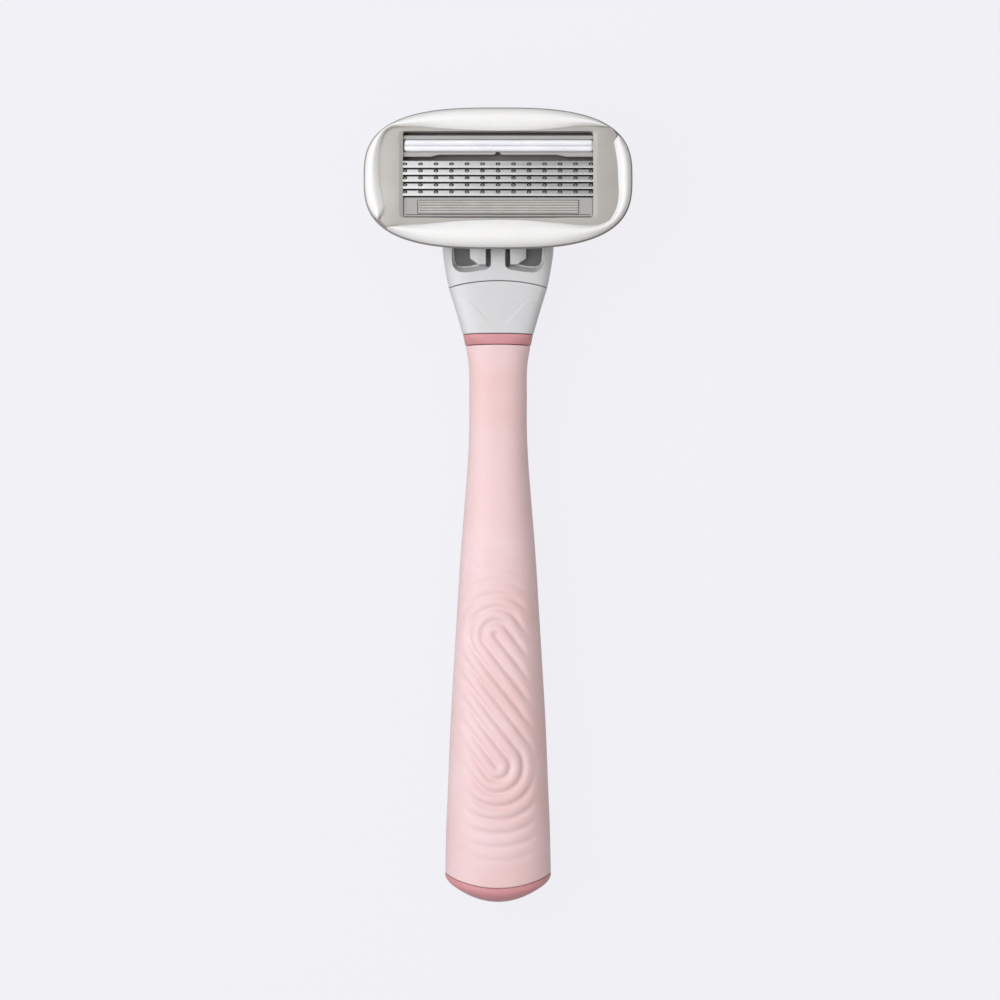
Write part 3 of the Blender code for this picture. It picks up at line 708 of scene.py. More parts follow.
@dataclass(frozen=True)
class Handle:
    """The handle: the elastomer sleeve, the rose cap and collar, and what is inside."""

    form: HandleForm
    relief: GripRelief
    butt_y: float = -67.5
    top_y: float = 29.0
    cap_gap: float = 0.05
    wall: float = 1.1
    lip: float = 0.26
    top_lip: float = 0.2
    step: float = 0.26
    sides: int = 200
    butt_bow: float = 0.0234
    seam_bow: float = -0.004
    butt_end_y: float = -70.45
    cap_dome: tuple[float, float] = (4.05, 1.7)
    cap_fillet: float = 0.55
    core_wall: float = 1.0
    spigot_play: float = 0.45
    collar_y: tuple[float, float] = (29.0 + GAP, 30.93)

    def bow_at(self, y: float) -> float:
        """The sweep of a ring, which fades away from both seams."""
        low = self.butt_bow * max(0.0, 1 - (y - self.butt_y) / 20)
        return low + self.seam_bow * max(0.0, 1 - (self.top_y - y) / 8)

    def sleeve_rings(self) -> list[Points]:
        """The sleeve's outside from butt to top with rounded lips, then its bore."""
        rings = []
        for turn in evenly(0, 90, 6):
            a = math.radians(turn)
            y = self.butt_y + self.lip * (1 - math.cos(a))
            rings.append(self.form.ring(y, self.lip * (1 - math.sin(a)), self.sides, self.bow_at(y)))
        length = self.top_y - self.butt_y - self.lip - self.top_lip
        for y in self.butt_y + self.lip + length * evenly(0, 1, round(length / self.step))[1:]:
            rings.append(self.pressed(self.form.ring(y, 0, self.sides, self.bow_at(y))))
        for turn in evenly(75, 0, 6):
            a = math.radians(turn)
            y = self.top_y - self.top_lip * (1 - math.cos(a))
            rings.append(self.form.ring(y, self.top_lip * (1 - math.sin(a)), self.sides, self.bow_at(y)))
        for y in evenly(self.top_y, self.butt_y, 24):
            rings.append(self.form.ring(y, self.wall, self.sides, self.bow_at(y), flat=False))
        return rings

    def pressed(self, ring: Points) -> Points:
        """A ring with the relief pressed into its front."""
        width, back, front = self.form.at(float(ring[len(ring) // 4, 1]))
        x, z = ring[:, 0] / width, (ring[:, 2] - (back + front) / 2) / ((front - back) / 2)
        power = self.form.squareness - 1
        across, up = np.sign(x) * np.abs(x) ** power, np.sign(z) * np.abs(z) ** power
        normal = np.stack([across / width, up * 2 / (front - back)], 1)
        normal /= np.maximum(1e-9, np.linalg.norm(normal, axis=1))[:, None]
        depth = self.relief.depth_at(ring[:, 0], ring[:, 1]) * smoothstep((normal[:, 1] - 0.2) / 0.5)
        pressed = ring.copy()
        pressed[:, 0] -= normal[:, 0] * depth
        pressed[:, 2] -= normal[:, 1] * depth
        return pressed

    def cap_rings(self) -> list[Points]:
        """The cap: its spigot, the shoulder under the seam, a narrow band, and the dome."""
        width, back, front = self.form.at(self.butt_y)
        middle, deep = (back + front) / 2, (front - back) / 2
        seam = self.butt_y - self.cap_gap
        spigot = self.wall + self.core_wall + self.spigot_play
        rings = [
            self.form.ring(-60.0, spigot + 0.4, self.sides, flat=False),
            self.form.ring(-60.5, spigot, self.sides, flat=False),
            self.form.ring(self.butt_y + 0.3, spigot, self.sides, flat=False),
        ]
        for inset, drop in ((spigot, 0.0), (0.6, 0.0), (0.25, 0.0), (0.04, 0.01), (0.0, 0.06)):
            size = (width - inset, back + inset, front - inset)
            rings.append(section(seam - drop, size, self.form.squareness, self.sides, self.butt_bow, 0.0))
        rim = rings[-1]
        for share in (*evenly(1.0, 0.93, 12), *evenly(0.92, 0.04, 26)):
            across, up = rim[:, 0] / width * share, (rim[:, 2] - middle) / deep * share
            y = self.butt_end_y + self.cap_dome[0] * across**2 + self.cap_dome[1] * up**4
            t = max(0.0, (share - 0.93) / 0.07)
            y = y + self.cap_fillet * (1 - math.sqrt(max(0.0, 1 - t * t)))
            height = middle + (rim[:, 2] - middle) * share
            rings.append(np.stack([rim[:, 0] * share, np.minimum(y, rim[:, 1]), height], 1))
        return rings

    def collar_rings(self) -> list[Points]:
        """The collar: a band that goes from the handle's section to the neck's."""
        low, high = self.collar_y
        rings = []
        softened = ((0.0, 0.12), (0.03, 0.03), (0.08, 0.0), (0.5, 0.0), (0.92, 0.0), (0.97, 0.03), (1.0, 0.12))
        for t, inset in softened:
            y = low + (high - low) * t
            size = (5.85 + 0.38 * t - inset, 6.00 + 0.45 * t + inset, 14.74 + 0.22 * t - inset)
            rings.append(section(y, size, 2.4 + 2.0 * t, self.sides, self.seam_bow))
        for y in (high, low):
            rings.append(section(y, (3.1, 7.9, 13.1), 4.4, self.sides, self.seam_bow))
        return rings

    def build(self) -> None:
        """Makes the handle's pieces and dresses its hidden ones."""
        sleeve, collar = loft(self.sleeve_rings(), closed=True), loft(self.collar_rings(), closed=True)
        place("grip_sleeve_ridged", sleeve, BLUSH_ELASTOMER, "handle", ["grip_sleeve"])
        place("butt_cap_domed", loft(self.cap_rings()), ROSE_ABS, "handle", ["end_cap"])
        place("collar_band", collar, ROSE_ABS, "handle", ["collar_ring"])
        dress("handle_core", CREAM_ABS)
        dress("counterweight", ZINC_CAST)
        dress("retaining_pin", DRAWN_STEEL)


def dress(node: str, finish: Finish) -> None:
    """Gives a hidden solid, whose plain shape is right, its finish."""
    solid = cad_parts[node]
    for own_slot in solid.material_slots:
        own_slot.material = finish.material()
    LOG.info("%s: %s", node, finish.name)


# ---------------------------------------------------------------- neck and release
@dataclass(frozen=True)
class Neck:
    """The grey neck: a front shell with its tang and docking nose, and a back cover."""

    form: HandleForm
    y: tuple[float, float] = (31.05, 40.25)
    half_width: tuple[float, float] = (6.28, 8.73)
    back_z: tuple[float, float] = (6.55, 6.95)
    front_z: tuple[float, float] = (15.0, 15.45)
    squareness: float = 4.4
    low_bow: float = -0.004
    seam_bow: float = -0.0155
    split_z: float = 10.20
    end_wall_y: float = 32.10
    nose_half_width: float = 6.50
    nose_top_y: float = 46.0
    nose_z: tuple[float, float] = (10.25, 12.20)
    pin_y: float = 20.5
    step_depth: float = 0.07
    sides: int = 220

    def ring(self, t: float, inset: float, drop: float = 0.0) -> Points:
        """A ring at a share t of the neck's length, between its two bowed seams."""
        spans = (self.half_width, self.back_z, self.front_z)
        sizes = [low + (high - low) * t for low, high in spans]
        ring = section(0, (sizes[0] - inset, sizes[1] + inset, sizes[2] - inset), self.squareness, self.sides)
        x = ring[:, 0]
        low, high = self.y[0] + self.low_bow * x**2, self.y[1] + self.seam_bow * x**2
        ring[:, 1] = low + (high - low) * t + drop
        crease = 32.5 + 4.04 * smoothstep((np.abs(x) - 0.8) / 4.9)
        front = smoothstep((ring[:, 2] - sizes[2] + 0.9) / 0.5)
        ring[:, 2] -= self.step_depth * smoothstep((ring[:, 1] - crease) / 0.38) * front
        return ring

    def body(self) -> bpy.types.Mesh:
        """The neck's whole outside, with softened rims and closed ends."""
        rings = [self.ring(0, inset) for inset in (3.9, 2.5, 0.5, 0.12)]
        rings += [self.ring(0, 0.03, 0.05), self.ring(0, 0.0, 0.13)]
        rings += [self.ring(t, 0) for t in evenly(0.02, 0.98, 84)]
        rings += [self.ring(1, 0.0, -0.13), self.ring(1, 0.03, -0.04)]
        rings += [self.ring(1, inset) for inset in (0.12, 0.5, 2.5, 3.9)]
        return loft(rings)

    def front_shell(self) -> bpy.types.Mesh:
        """The front shell with the tang that goes down the handle and the docking nose."""
        tang = []
        for y in evenly(14.5, 31.6, 12):
            _, back, front = self.form.at(min(y, 29.1))
            middle = (back + front) / 2
            tang.append(section(y, (2.35, middle - 1.8, middle + 1.8), 2.4, 40))
        nose = [
            (38.0, self.nose_z[0]),
            (self.nose_top_y - 0.3, self.nose_z[0]),
            (self.nose_top_y, self.nose_z[0] + 0.3),
            (self.nose_top_y, self.nose_z[1] - 0.9),
            (42.0, self.nose_z[1] + 0.6),
            (38.0, self.nose_z[1] + 0.6),
        ]
        _, back, front = self.form.at(self.pin_y)
        width = self.nose_half_width
        cuts = [
            block((-12, 12), (self.end_wall_y, 50), (0, self.split_z)),
            rod((self.pin_y, (back + front) / 2), 0.85, -8, 8),
        ]
        nose_mesh = shaped(prism(nose, Axis.ACROSS, -width, width), bevel=0.12)
        shell = shaped(self.body(), cuts=cuts[:1])
        return shaped(shell, joins=[nose_mesh, loft(tang)], cuts=cuts[1:])

    def back_cover(self) -> bpy.types.Mesh:
        """The back cover: a tray for the release slide, with a slot for its button."""
        floor = 7.85
        cuts = [
            block((-12, 12), (20, 50), (self.split_z - GAP, 20)),
            block((-12, 12), (20, self.end_wall_y + GAP), (0, 20)),
            block((-4.9, 4.9), (self.end_wall_y, 42), (floor, 12)),
            block((-2.0, 2.0), (32.9, 38.35), (5, 9)),
        ]
        tray = shaped(self.body(), cuts=cuts)
        rib = block((-1.8, 1.8), (38.6, 39.3), (floor - 0.3, self.split_z - 0.3))
        return shaped(tray, joins=[rib])

    def build(self) -> None:
        """Makes the neck's two mouldings."""
        place("neck_front_shell_creased", self.front_shell(), LIGHT_GREY_ABS, "handle", ["neck_front_shell"])
        place("neck_back_cover_slotted", self.back_cover(), LIGHT_GREY_ABS, "handle", ["neck_back_cover"])


@dataclass(frozen=True)
class Release:
    """The release: a slide with two prongs, its ribbed thumb button, and the return spring."""

    slide_z: tuple[float, float] = (8.10, 9.80)
    slide_y: tuple[float, float] = (32.45, 33.80)
    prong_x: tuple[float, float] = (3.00, 4.60)
    prong_top_y: float = 39.75
    wire: float = 0.14
    radius: float = 0.72
    turns: float = 5.5
    rib_y: float = 38.6
    pad_half_width: float = 3.1

    def slide(self) -> bpy.types.Mesh:
        """The slide, with its boss for the button's stem."""
        prong_y = (self.slide_y[0], self.prong_top_y)
        joins = [block(mirrored(self.prong_x, side), prong_y, self.slide_z) for side in Side]
        joins += [block((-1.7, 1.7), (33.2, self.slide_y[1] - 0.1), (7.4, 8.3))]
        joins += [block((-1.7, 1.7), (33.2, 35.4), (7.3, 8.0))]
        bar = block((-4.6, 4.6), self.slide_y, self.slide_z)
        return shaped(shaped(bar, joins=joins, cuts=[block((-0.8, 0.8), (33.9, 34.6), (6, 7.9))]), bevel=0.1)

    def button(self) -> bpy.types.Mesh:
        """The thumb pad: rounded ribs across it and a stem into the slide."""
        pad = [(31.6, 6.35), (31.75, 5.85), (32.1, 5.45), (32.6, 5.30)]
        for i in range(4):
            y = 33.1 + 0.75 * i
            pad += [(y + 0.4 * t, 5.30 + 0.3 * math.sin(math.pi * t)) for t in evenly(0, 1, 7)]
        pad += [(36.5, 5.30), (36.95, 5.42), (37.2, 5.8), (37.3, 6.35)]
        plate = shaped(prism(pad, Axis.ACROSS, -self.pad_half_width, self.pad_half_width), bevel=0.12)
        stem = [block((-1.7, 1.7), (33.2, 35.4), (6.0, 7.15)), block((-0.65, 0.65), (34.05, 34.45), (6.8, 7.7))]
        return shaped(plate, joins=stem)

    def spring(self) -> bpy.types.Mesh:
        """The coil spring, with its last turns closed up at both ends."""
        low, high = self.slide_y[1] + 0.15 + self.wire, self.rib_y - 0.15 - self.wire
        middle = sum(self.slide_z) / 2
        rings = []
        for t in evenly(0, 1, round(self.turns * 28)):
            rise = t - 0.09 * math.sin(2 * math.pi * t)
            turn, y = 2 * math.pi * self.turns * t, low + (high - low) * rise
            around = np.array(arc((self.radius, y), self.wire, 0, 330, 11))
            out, along = around[:, 0], around[:, 1]
            rings.append(np.stack([out * math.cos(turn), along, middle + out * math.sin(turn)], 1))
        return loft(rings)

    def build(self) -> None:
        """Makes the release's pieces. The spring stays in the handle."""
        place("release_slide_pronged", self.slide(), LIGHT_GREY_ABS, "release", ["release_slide"])
        place("release_button_ribbed", self.button(), LIGHT_GREY_ABS, "release", ["release_button"])
        stands_for = ["release_spring"]
        coil = place("release_spring_coil", self.spring(), DRAWN_STEEL, "handle", stands_for, smooth=60)
        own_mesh(coil)


# ---------------------------------------------------------------- connector
@dataclass(frozen=True)
class Connector:
    """The yoke that stays with the cartridge, and the elastomer tongue that swings it home."""

    stations: tuple = (
        (38.6, 8.36, 6.87, 15.37),
        (42.2, 9.16, 7.15, 15.60),
        (44.2, 9.56, 7.60, 15.55),
        (46.2, 9.90, 8.40, 14.90),
        (48.0, 9.90, 9.40, 14.20),
        (49.4, 9.90, 10.10, 13.80),
    )
    seam_y: float = 40.25 + GAP
    seam_bow: float = -0.0155
    pivot: tuple[float, float] = (53.10, 12.30)
    arm_x: tuple[float, float] = (8.30, 9.90)
    eye_radius: float = 1.85
    journal_radius: float = 0.90
    journal_x: tuple[float, float] = (6.2, 8.6)
    slot_x: tuple[float, float] = (1.30, 2.12)
    slot_y: tuple[float, float] = (42.8, 46.6)
    slot_z: tuple[float, float] = (11.2, 18.0)
    window_floor_z: float = 13.35
    prong_z: tuple[float, float] = (13.25, 14.95)
    sides: int = 220

    def size_at(self, y: float) -> Points:
        """The half width, back and front at y."""
        ys = [s[0] for s in self.stations]
        return np.array([np.interp(y, ys, [s[k] for s in self.stations]) for k in (1, 2, 3)])

    def ring(self, y: float, inset: float, bow_share: float) -> Points:
        """A ring whose sweep follows the seam near it. Its corners grow rounder up the yoke."""
        sizes = np.mean([self.size_at(y + dy) for dy in (-0.7, -0.35, 0.0, 0.35, 0.7)], 0)
        sizes = np.minimum(sizes, self.size_at(y) + (0.02, 9, 0.0))
        squareness = 4.4 - 0.9 * float(smoothstep((y - 41) / 5))
        size = (sizes[0] - inset, sizes[1] + inset, sizes[2] - inset)
        return section(y, size, squareness, self.sides, self.seam_bow * bow_share)

    def window(self, side: Side) -> bpy.types.Mesh:
        """One front window's cutter: its lower and outer walls slope, its rib side is upright."""
        line = [(1.30, 46.6), (1.30, 43.5), (1.42, 42.95), (1.85, 42.55), (3.3, 42.22), (5.2, 41.93)]
        line += [(6.4, 41.85), (7.35, 42.08), (8.0, 42.7), (8.25, 43.7), (8.45, 46.6)]
        top = through(line, 6)
        x, y = top[:, 0], top[:, 1]
        inward, upward = smoothstep((x - 5.0) / 2.8), 1 - smoothstep((y - 42.0) / 2.4)
        floor = np.stack([x - 0.35 * inward, y + 0.9 * upward], 1)
        flare = np.stack([x + 0.15 * inward - 0.1 * (1 - inward), y - 0.22 * upward], 1)
        rings = []
        for outline, z in ((floor, self.window_floor_z), (top, 15.2), (flare, 15.7), (flare, 18.0)):
            rings.append(np.column_stack([outline * (side.value, 1), np.full(len(outline), z)]))
        return loft(rings)

    def painted_shade_seat(self, side: Side) -> bpy.types.Mesh:
        """The textured seat on one window's floor, beside the finger's slot: a dark plate that is painted shade in
        the deep window.
        """
        line = [(2.2, 46.6), (2.2, 43.75), (3.3, 43.4), (5.2, 43.0)]
        line += [(6.6, 42.95), (7.35, 43.2), (7.7, 43.9), (7.9, 46.6)]
        outline = np.array(line) * (side.value, 1)
        return prism(outline, Axis.UP, self.window_floor_z - 0.05, self.window_floor_z + 0.05)

    def latch_finger(self, side: Side) -> bpy.types.Mesh:
        """A latch finger in a window: a flat face with a slope down its outer side."""
        low = [(2.10, 47.0), (2.10, 43.15), (3.45, 43.15), (5.00, 44.35), (5.00, 47.0)]
        high = [(2.18, 47.0), (2.18, 43.25), (3.45, 43.25), (3.75, 43.55), (3.75, 47.0)]
        rings = []
        for outline, z in ((low, self.prong_z[0]), (low, 14.2), (high, self.prong_z[1])):
            rings.append(np.column_stack([np.array(outline) * (side.value, 1), np.full(len(outline), z)]))
        return shaped(loft(rings), bevel=0.08, segments=2)

    def yoke(self) -> bpy.types.Mesh:
        """The yoke: socket, windows, fingers, arms and journals."""
        seam = self.seam_y
        rings = [self.ring(seam, inset, 1) for inset in (3.9, 2.5, 0.5, 0.12)]
        rings += [self.ring(seam + 0.05, 0.03, 1), self.ring(seam + 0.13, 0.0, 1)]
        top = self.stations[-1][0]
        for y in evenly(seam + 0.3, top - 0.4, 56):
            rings.append(self.ring(y, 0, 1 - float(smoothstep((y - seam) / (top - seam)))))
        rings += [self.ring(top - 0.12, 0.1, 0), self.ring(top, 0.4, 0), self.ring(top, 1.5, 0)]
        socket = block((-6.8, 6.8), (38, 46.4), (9.95, 13.15))
        slots = [block(mirrored(self.slot_x, side), self.slot_y, self.slot_z) for side in Side]
        body = shaped(loft(rings), cuts=[socket, *slots, *(self.window(side) for side in Side)])
        arm = [(48.0, 9.9), (48.0, 13.9)] + arc(self.pivot, self.eye_radius, 90, -90, 28)
        joins = [self.latch_finger(side) for side in Side]
        for side in Side:
            joins.append(shaped(prism(arm, Axis.ACROSS, *mirrored(self.arm_x, side)), bevel=0.2))
            low, high = mirrored(self.journal_x, side)
            joins.append(shaped(rod(self.pivot, self.journal_radius, low, high), bevel=0.12))
        return shaped(body, joins=joins)

    def tongue(self) -> bpy.types.Mesh:
        """The leaf, rounded at its free end where it presses on the cartridge."""
        leaf = [(49.6, 11.6), (49.6, 13.0), (51.3, 13.12), (53.0, 13.4), (55.0, 13.85)]
        leaf += [(57.0, 14.32), (57.7, 14.35), (58.1, 14.2), (58.2, 13.95), (58.0, 13.6)]
        leaf += [(57.0, 13.3), (55.0, 12.75), (53.0, 12.2), (51.3, 11.85)]
        return shaped(prism(leaf, Axis.ACROSS, -3.2, 3.2), bevel=0.1)

    def build(self) -> None:
        """Makes the yoke, and the tongue, which bends between the yoke and the cartridge."""
        place("connector_yoke_windowed", self.yoke(), LIGHT_GREY_ABS, "connector", ["connector_yoke"])
        for side in Side:
            # dark plates on the window floors: painted shade in the deep recesses
            place(f"window_seat_painted_shade_{side.name.lower()}", self.painted_shade_seat(side), PAINTED_SHADE_SEAT_ABS, "connector")
        leaf = place("return_tongue_leaf", self.tongue(), WHITE_ELASTOMER, None, ["return_tongue"])
        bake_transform(leaf)


# ---------------------------------------------------------------- cartridge
@dataclass(frozen=True)
class Cartridge:
    """The cartridge: housing, bezel, lobes, strip, guard, and five welded blades."""

    middle_y: float = 58.12
    plane_z: float = 20.60
    pivot: tuple[float, float] = (-5.02, -8.30)
    outline: tuple[float, float] = (23.70, 12.48)
    outline_squareness: float = 2.9
    window: tuple[float, float] = (16.98, 7.58)
    window_corner: float = 0.5
    window_shift: float = 0.52
    top_z: float = -1.65
    back_z: float = -6.00
    pocket_z: float = -3.40
    windows_top_y: float = 3.2
    rib_reach: tuple[float, float] = (0.1, 0.62)
    lug_x: tuple[float, float] = (5.90, 7.60)
    lug_radius: float = 1.95
    bore_radius: float = 0.99
    lobe_top: float = 0.80
    strip_x: tuple[float, float] = (-16.5, 16.75)
    strip_y: tuple[float, float] = (4.56, 6.64)
    guard_y: tuple[float, float] = (-6.88, -3.50)
    fins_y: tuple[float, float] = (-6.35, -4.02)
    blades: int = 5
    pitch: float = 1.233
    first_edge_y: float = 1.71
    tilt: float = math.radians(21)
    blade_width: float = 1.04
    first_blade_width: float = 1.30
    bevel: float = 0.34
    faces: tuple[float, float] = (0.04, -0.06)
    blade_half_length: float = 18.3
    support_thickness: float = 0.22
    support_foot_z: float = -3.20
    weld_pitch: float = 2.727
    weld_back: float = 0.70
    weld_oval: float = 0.66
    welds_each_way: int = 6
    nugget_profile: tuple = ((0.02, 0.012), (0.16, 0.012), (0.20, 0.004), (0.20, -0.01), (0.02, -0.01))
    ring_profile: tuple = ((0.21, -0.01), (0.21, 0.008), (0.32, 0.018), (0.43, 0.006), (0.43, -0.01))
    sides: int = 288

    # the lobes' inner edges, from tip to tip
    upper_edge: tuple = (
        (19.9, 8.95), (19.3, 8.83), (17.2, 9.02), (14.6, 9.09), (11.8, 8.79), (6.4, 8.34), (0.3, 8.20),
        (-5.4, 8.34), (-9.8, 8.60), (-13.3, 8.90), (-16.9, 8.95), (-18.4, 8.85), (-19.5, 8.30),
        (-20.2, 7.20), (-20.7, 5.20), (-20.95, 2.70), (-20.85, 0.20), (-20.55, -2.00), (-20.2, -3.75),
        (-20.0, -5.20), (-20.35, -6.40), (-20.9, -7.30),
    )
    lower_edge: tuple = (
        (-19.6, -8.75), (-18.4, -8.52), (-16.9, -8.35), (-13.3, -8.20), (-8.0, -7.70), (-2.6, -7.46), (0.3, -7.41),
        (4.6, -7.50), (10.0, -7.95), (15.4, -8.40), (17.9, -8.25), (19.7, -7.30), (20.75, -5.50),
        (21.2, -3.10), (21.1, -0.20), (20.95, 2.70), (20.55, 5.20), (20.4, 6.30), (20.95, 7.40),
    )

    def at_home(self, mesh: bpy.types.Mesh) -> bpy.types.Mesh:
        """A mesh drawn from the cartridge's middle, moved to where the cartridge is."""
        return moved(mesh, self.middle_y, self.plane_z)

    def reach(self, direction: Points, half: tuple[float, float], squareness: float) -> Points:
        """The points of a superellipse in these directions, in radians."""
        c, s = np.cos(direction), np.sin(direction)
        radius = (np.abs(c / half[0]) ** squareness + np.abs(s / half[1]) ** squareness) ** (-1 / squareness)
        return np.stack([radius * c, radius * s], -1)

    def rim(self, direction: Points, shrink: float = 0.0) -> Points:
        """The cartridge's outline in these directions, drawn in by shrink."""
        half = (self.outline[0] - shrink, self.outline[1] - shrink)
        return self.reach(direction, half, self.outline_squareness)

    def directions(self) -> Points:
        """Directions round the cartridge whose points on its outline are evenly spaced."""
        even = superellipse(*self.outline, self.outline_squareness, self.sides)
        return np.arctan2(even[:, 1], even[:, 0])

    def window_at(self, direction: Points, wider: float) -> Points:
        """The window's edge in these directions: a rectangle with rounded corners."""
        half = np.array(self.window) + (wider, 0.0)
        inner = half - self.window_corner
        c, s = np.abs(np.cos(direction)), np.abs(np.sin(direction))
        radius = np.minimum(half[0] / np.maximum(c, 1e-9), half[1] / np.maximum(s, 1e-9))
        along = c * inner[0] + s * inner[1]
        outside = inner[0] ** 2 + inner[1] ** 2 - self.window_corner**2
        rounded = along + np.sqrt(np.maximum(0.0, along**2 - outside))
        corner = (radius * c > inner[0]) & (radius * s > inner[1])
        radius = np.where(corner, rounded, radius)
        return np.stack([radius * np.cos(direction), radius * np.sin(direction) + self.window_shift], -1)

    def housing(self) -> bpy.types.Mesh:
        """The bowl that carries everything: pocket, ribbed back windows, slots, and pivot lugs."""
        around = self.directions()
        levels = [(self.back_z, 7.5), (self.back_z, 5.2), (-5.97, 4.75), (-5.87, 4.3), (-5.62, 3.3)]
        levels += [(-5.3, 2.45), (-4.75, 1.65), (-4.2, 1.15), (-3.7, 0.78), (-3.0, 0.36), (-2.4, 0.13)]
        levels += [(-2.0, 0.04), (-1.8, 0.0), (-1.69, 0.03), (self.top_z, 0.12), (self.top_z, 1.2)]
        rings = []
        for z, shrink in levels:
            flat = self.rim(around, shrink)
            rings.append(np.column_stack([flat, np.full(len(flat), z)]))
        cuts = [block((-17.1, 17.1), (-7.2, 8.0), (self.pocket_z, 0))]
        # between the windows' rinsing slots, a rib lies under each gap between two blades
        edges = [self.first_edge_y - self.pitch * k for k in range(-1, self.blades)]
        for span in ((-17.1, -6.4), (-5.2, 5.2), (6.4, 17.1)):
            for above, edge in zip(edges, edges[1:]):
                slot = (edge + self.rib_reach[1], min(above - self.rib_reach[0], self.windows_top_y))
                cuts.append(block(span, slot, (-7, -3)))
        for k in range(self.blades):
            leg = self.support(k)[2][0] - self.support_thickness / 2
            cuts.append(block((-18.5, 18.5), (leg - 0.2, leg + 0.2), (-3.3, 0)))
        lug = [(self.pivot[0] + 2.6, -5.4), (self.pivot[0] - 2.4, -5.4)]
        lug += arc(self.pivot, self.lug_radius, 180, 360, 28)
        lugs = [shaped(prism(lug, Axis.ACROSS, *mirrored(self.lug_x, side)), bevel=0.12) for side in Side]
        bowl = shaped(loft(rings), cuts=cuts)
        return shaped(bowl, joins=lugs, cuts=[rod(self.pivot, self.bore_radius, -9, 9)])

    def lobe_edge_at(self, direction: Points) -> Points:
        """Where the lobes' inner edge is in these directions, for the bezel under them."""
        line = np.vstack([through(self.upper_edge, 6), through(self.lower_edge, 6)])
        turn = np.arctan2(line[:, 1], line[:, 0])
        order = np.argsort(turn)
        turn, radius = turn[order], np.hypot(line[order, 0], line[order, 1])
        span = 2 * np.pi
        turn = np.concatenate([turn - span, turn, turn + span])
        radius = np.tile(radius, 3)
        found = np.interp(direction, turn, radius)
        return np.stack([found * np.cos(direction), found * np.sin(direction)], -1)

    def bezel(self) -> bpy.types.Mesh:
        """The frame round the window: a flange, the soft face, and the sloping window wall."""
        around = self.directions()
        flange, lobe = self.rim(around, 0.4), self.lobe_edge_at(around)
        shade = self.rim(around, 0.9)
        lip, foot = self.window_at(around, 0.32), self.window_at(around, -0.25)
        inner = self.window_at(around, -0.28)
        low = self.top_z + 0.05
        wide = np.linalg.norm(lobe - lip, axis=1)
        crown = 0.04 + 0.34 * smoothstep((wide - 0.3) / 3.0)
        rows = [(flange, low), (flange, -1.2), (shade, -0.62), (lobe + (shade - lobe) * 0.45, -0.3)]
        swell = ((0.02, 0.0), (0.15, 0.3), (0.3, 0.55), (0.5, 0.8), (0.7, 0.95), (0.88, 1.0), (0.97, 0.97))
        for share, rise in swell:
            rows.append((lobe + (lip - lobe) * share, -0.06 + (crown + 0.06) * rise))
        rows += [(lip, crown - 0.03), (lip + (foot - lip) * 0.15, crown * 0.82 - 0.02)]
        rows += [(lip + (foot - lip) * 0.9, 0.13), (foot, 0.11), (inner, 0.0), (inner, low)]
        rings = [np.column_stack([flat, np.zeros(len(flat)) + z]) for flat, z in rows]
        return shaped(loft(rings, closed=True), cuts=[block((-18.5, 18.5), (-3.6, 3.4), (-2, 0.1))])

    def lobe(self, edge: tuple, tips: tuple[float, float]) -> bpy.types.Mesh:
        """One soft lobe.

        Args:
            edge: its inner edge, from tip to tip.
            tips: how long its two ends taper, in millimetres.

        Returns:
            The lobe, swollen over its middle and tucked down at both edges.
        """
        inner = resampled(through(edge, 10), 300)
        run = np.concatenate([[0], np.cumsum(np.linalg.norm(np.diff(inner, axis=0), axis=1))])
        outer = self.rim(np.arctan2(inner[:, 1], inner[:, 0]), 0.24)
        profile = [(0.0, -1.05), (0.0, -0.35), (0.004, -0.10), (0.05, 0.07), (0.12, 0.25), (0.22, 0.47)]
        profile += [(0.34, 0.67), (0.46, 0.79), (0.6, 0.78), (0.72, 0.66), (0.82, 0.42), (0.9, 0.10)]
        profile += [(0.96, -0.3), (0.99, -0.7), (1.0, -1.05)]
        line = through(profile, 4)
        rings = []
        for i in range(len(inner)):
            near_first, near_last = run[i] / tips[0], (run[-1] - run[i]) / tips[1]
            full = max(0.05, math.sqrt(max(0.0, 1 - (1 - min(1.0, near_first, near_last)) ** 2)))
            across = 0.5 + (line[:, 0] - 0.5) * full
            flat = inner[i] + (outer[i] - inner[i]) * across[:, None]
            z = np.where(line[:, 1] > -0.35, -0.35 + (line[:, 1] + 0.35) * full**0.8, line[:, 1])
            z = np.minimum(z, self.lobe_top)
            rings.append(np.column_stack([flat, z]))
        return loft(rings)

    def carrier(self) -> bpy.types.Mesh:
        """The bar behind the blades: a raised middle with a round notch, and the strip's groove."""
        half, step, notch = 16.7, 3.68, 0.5
        raised = step + 0.35
        plan = [(-half, step), (-11.9, step), (-10.4, raised), (-0.75, raised)]
        plan += [(x, y + 0.02) for x, y in arc((0, raised), notch, 165, 15, 14)]
        plan += [(0.75, raised), (10.4, raised), (11.9, step), (half, step), (half, 7.4), (-half, 7.4)]
        bar = shaped(prism(plan, Axis.UP, -3.25, -0.5), bevel=0.07, segments=2)
        return shaped(bar, cuts=[block((-20, 20), (self.strip_y[0] - 0.08, self.strip_y[1] + 0.08), (-1.5, 1))])

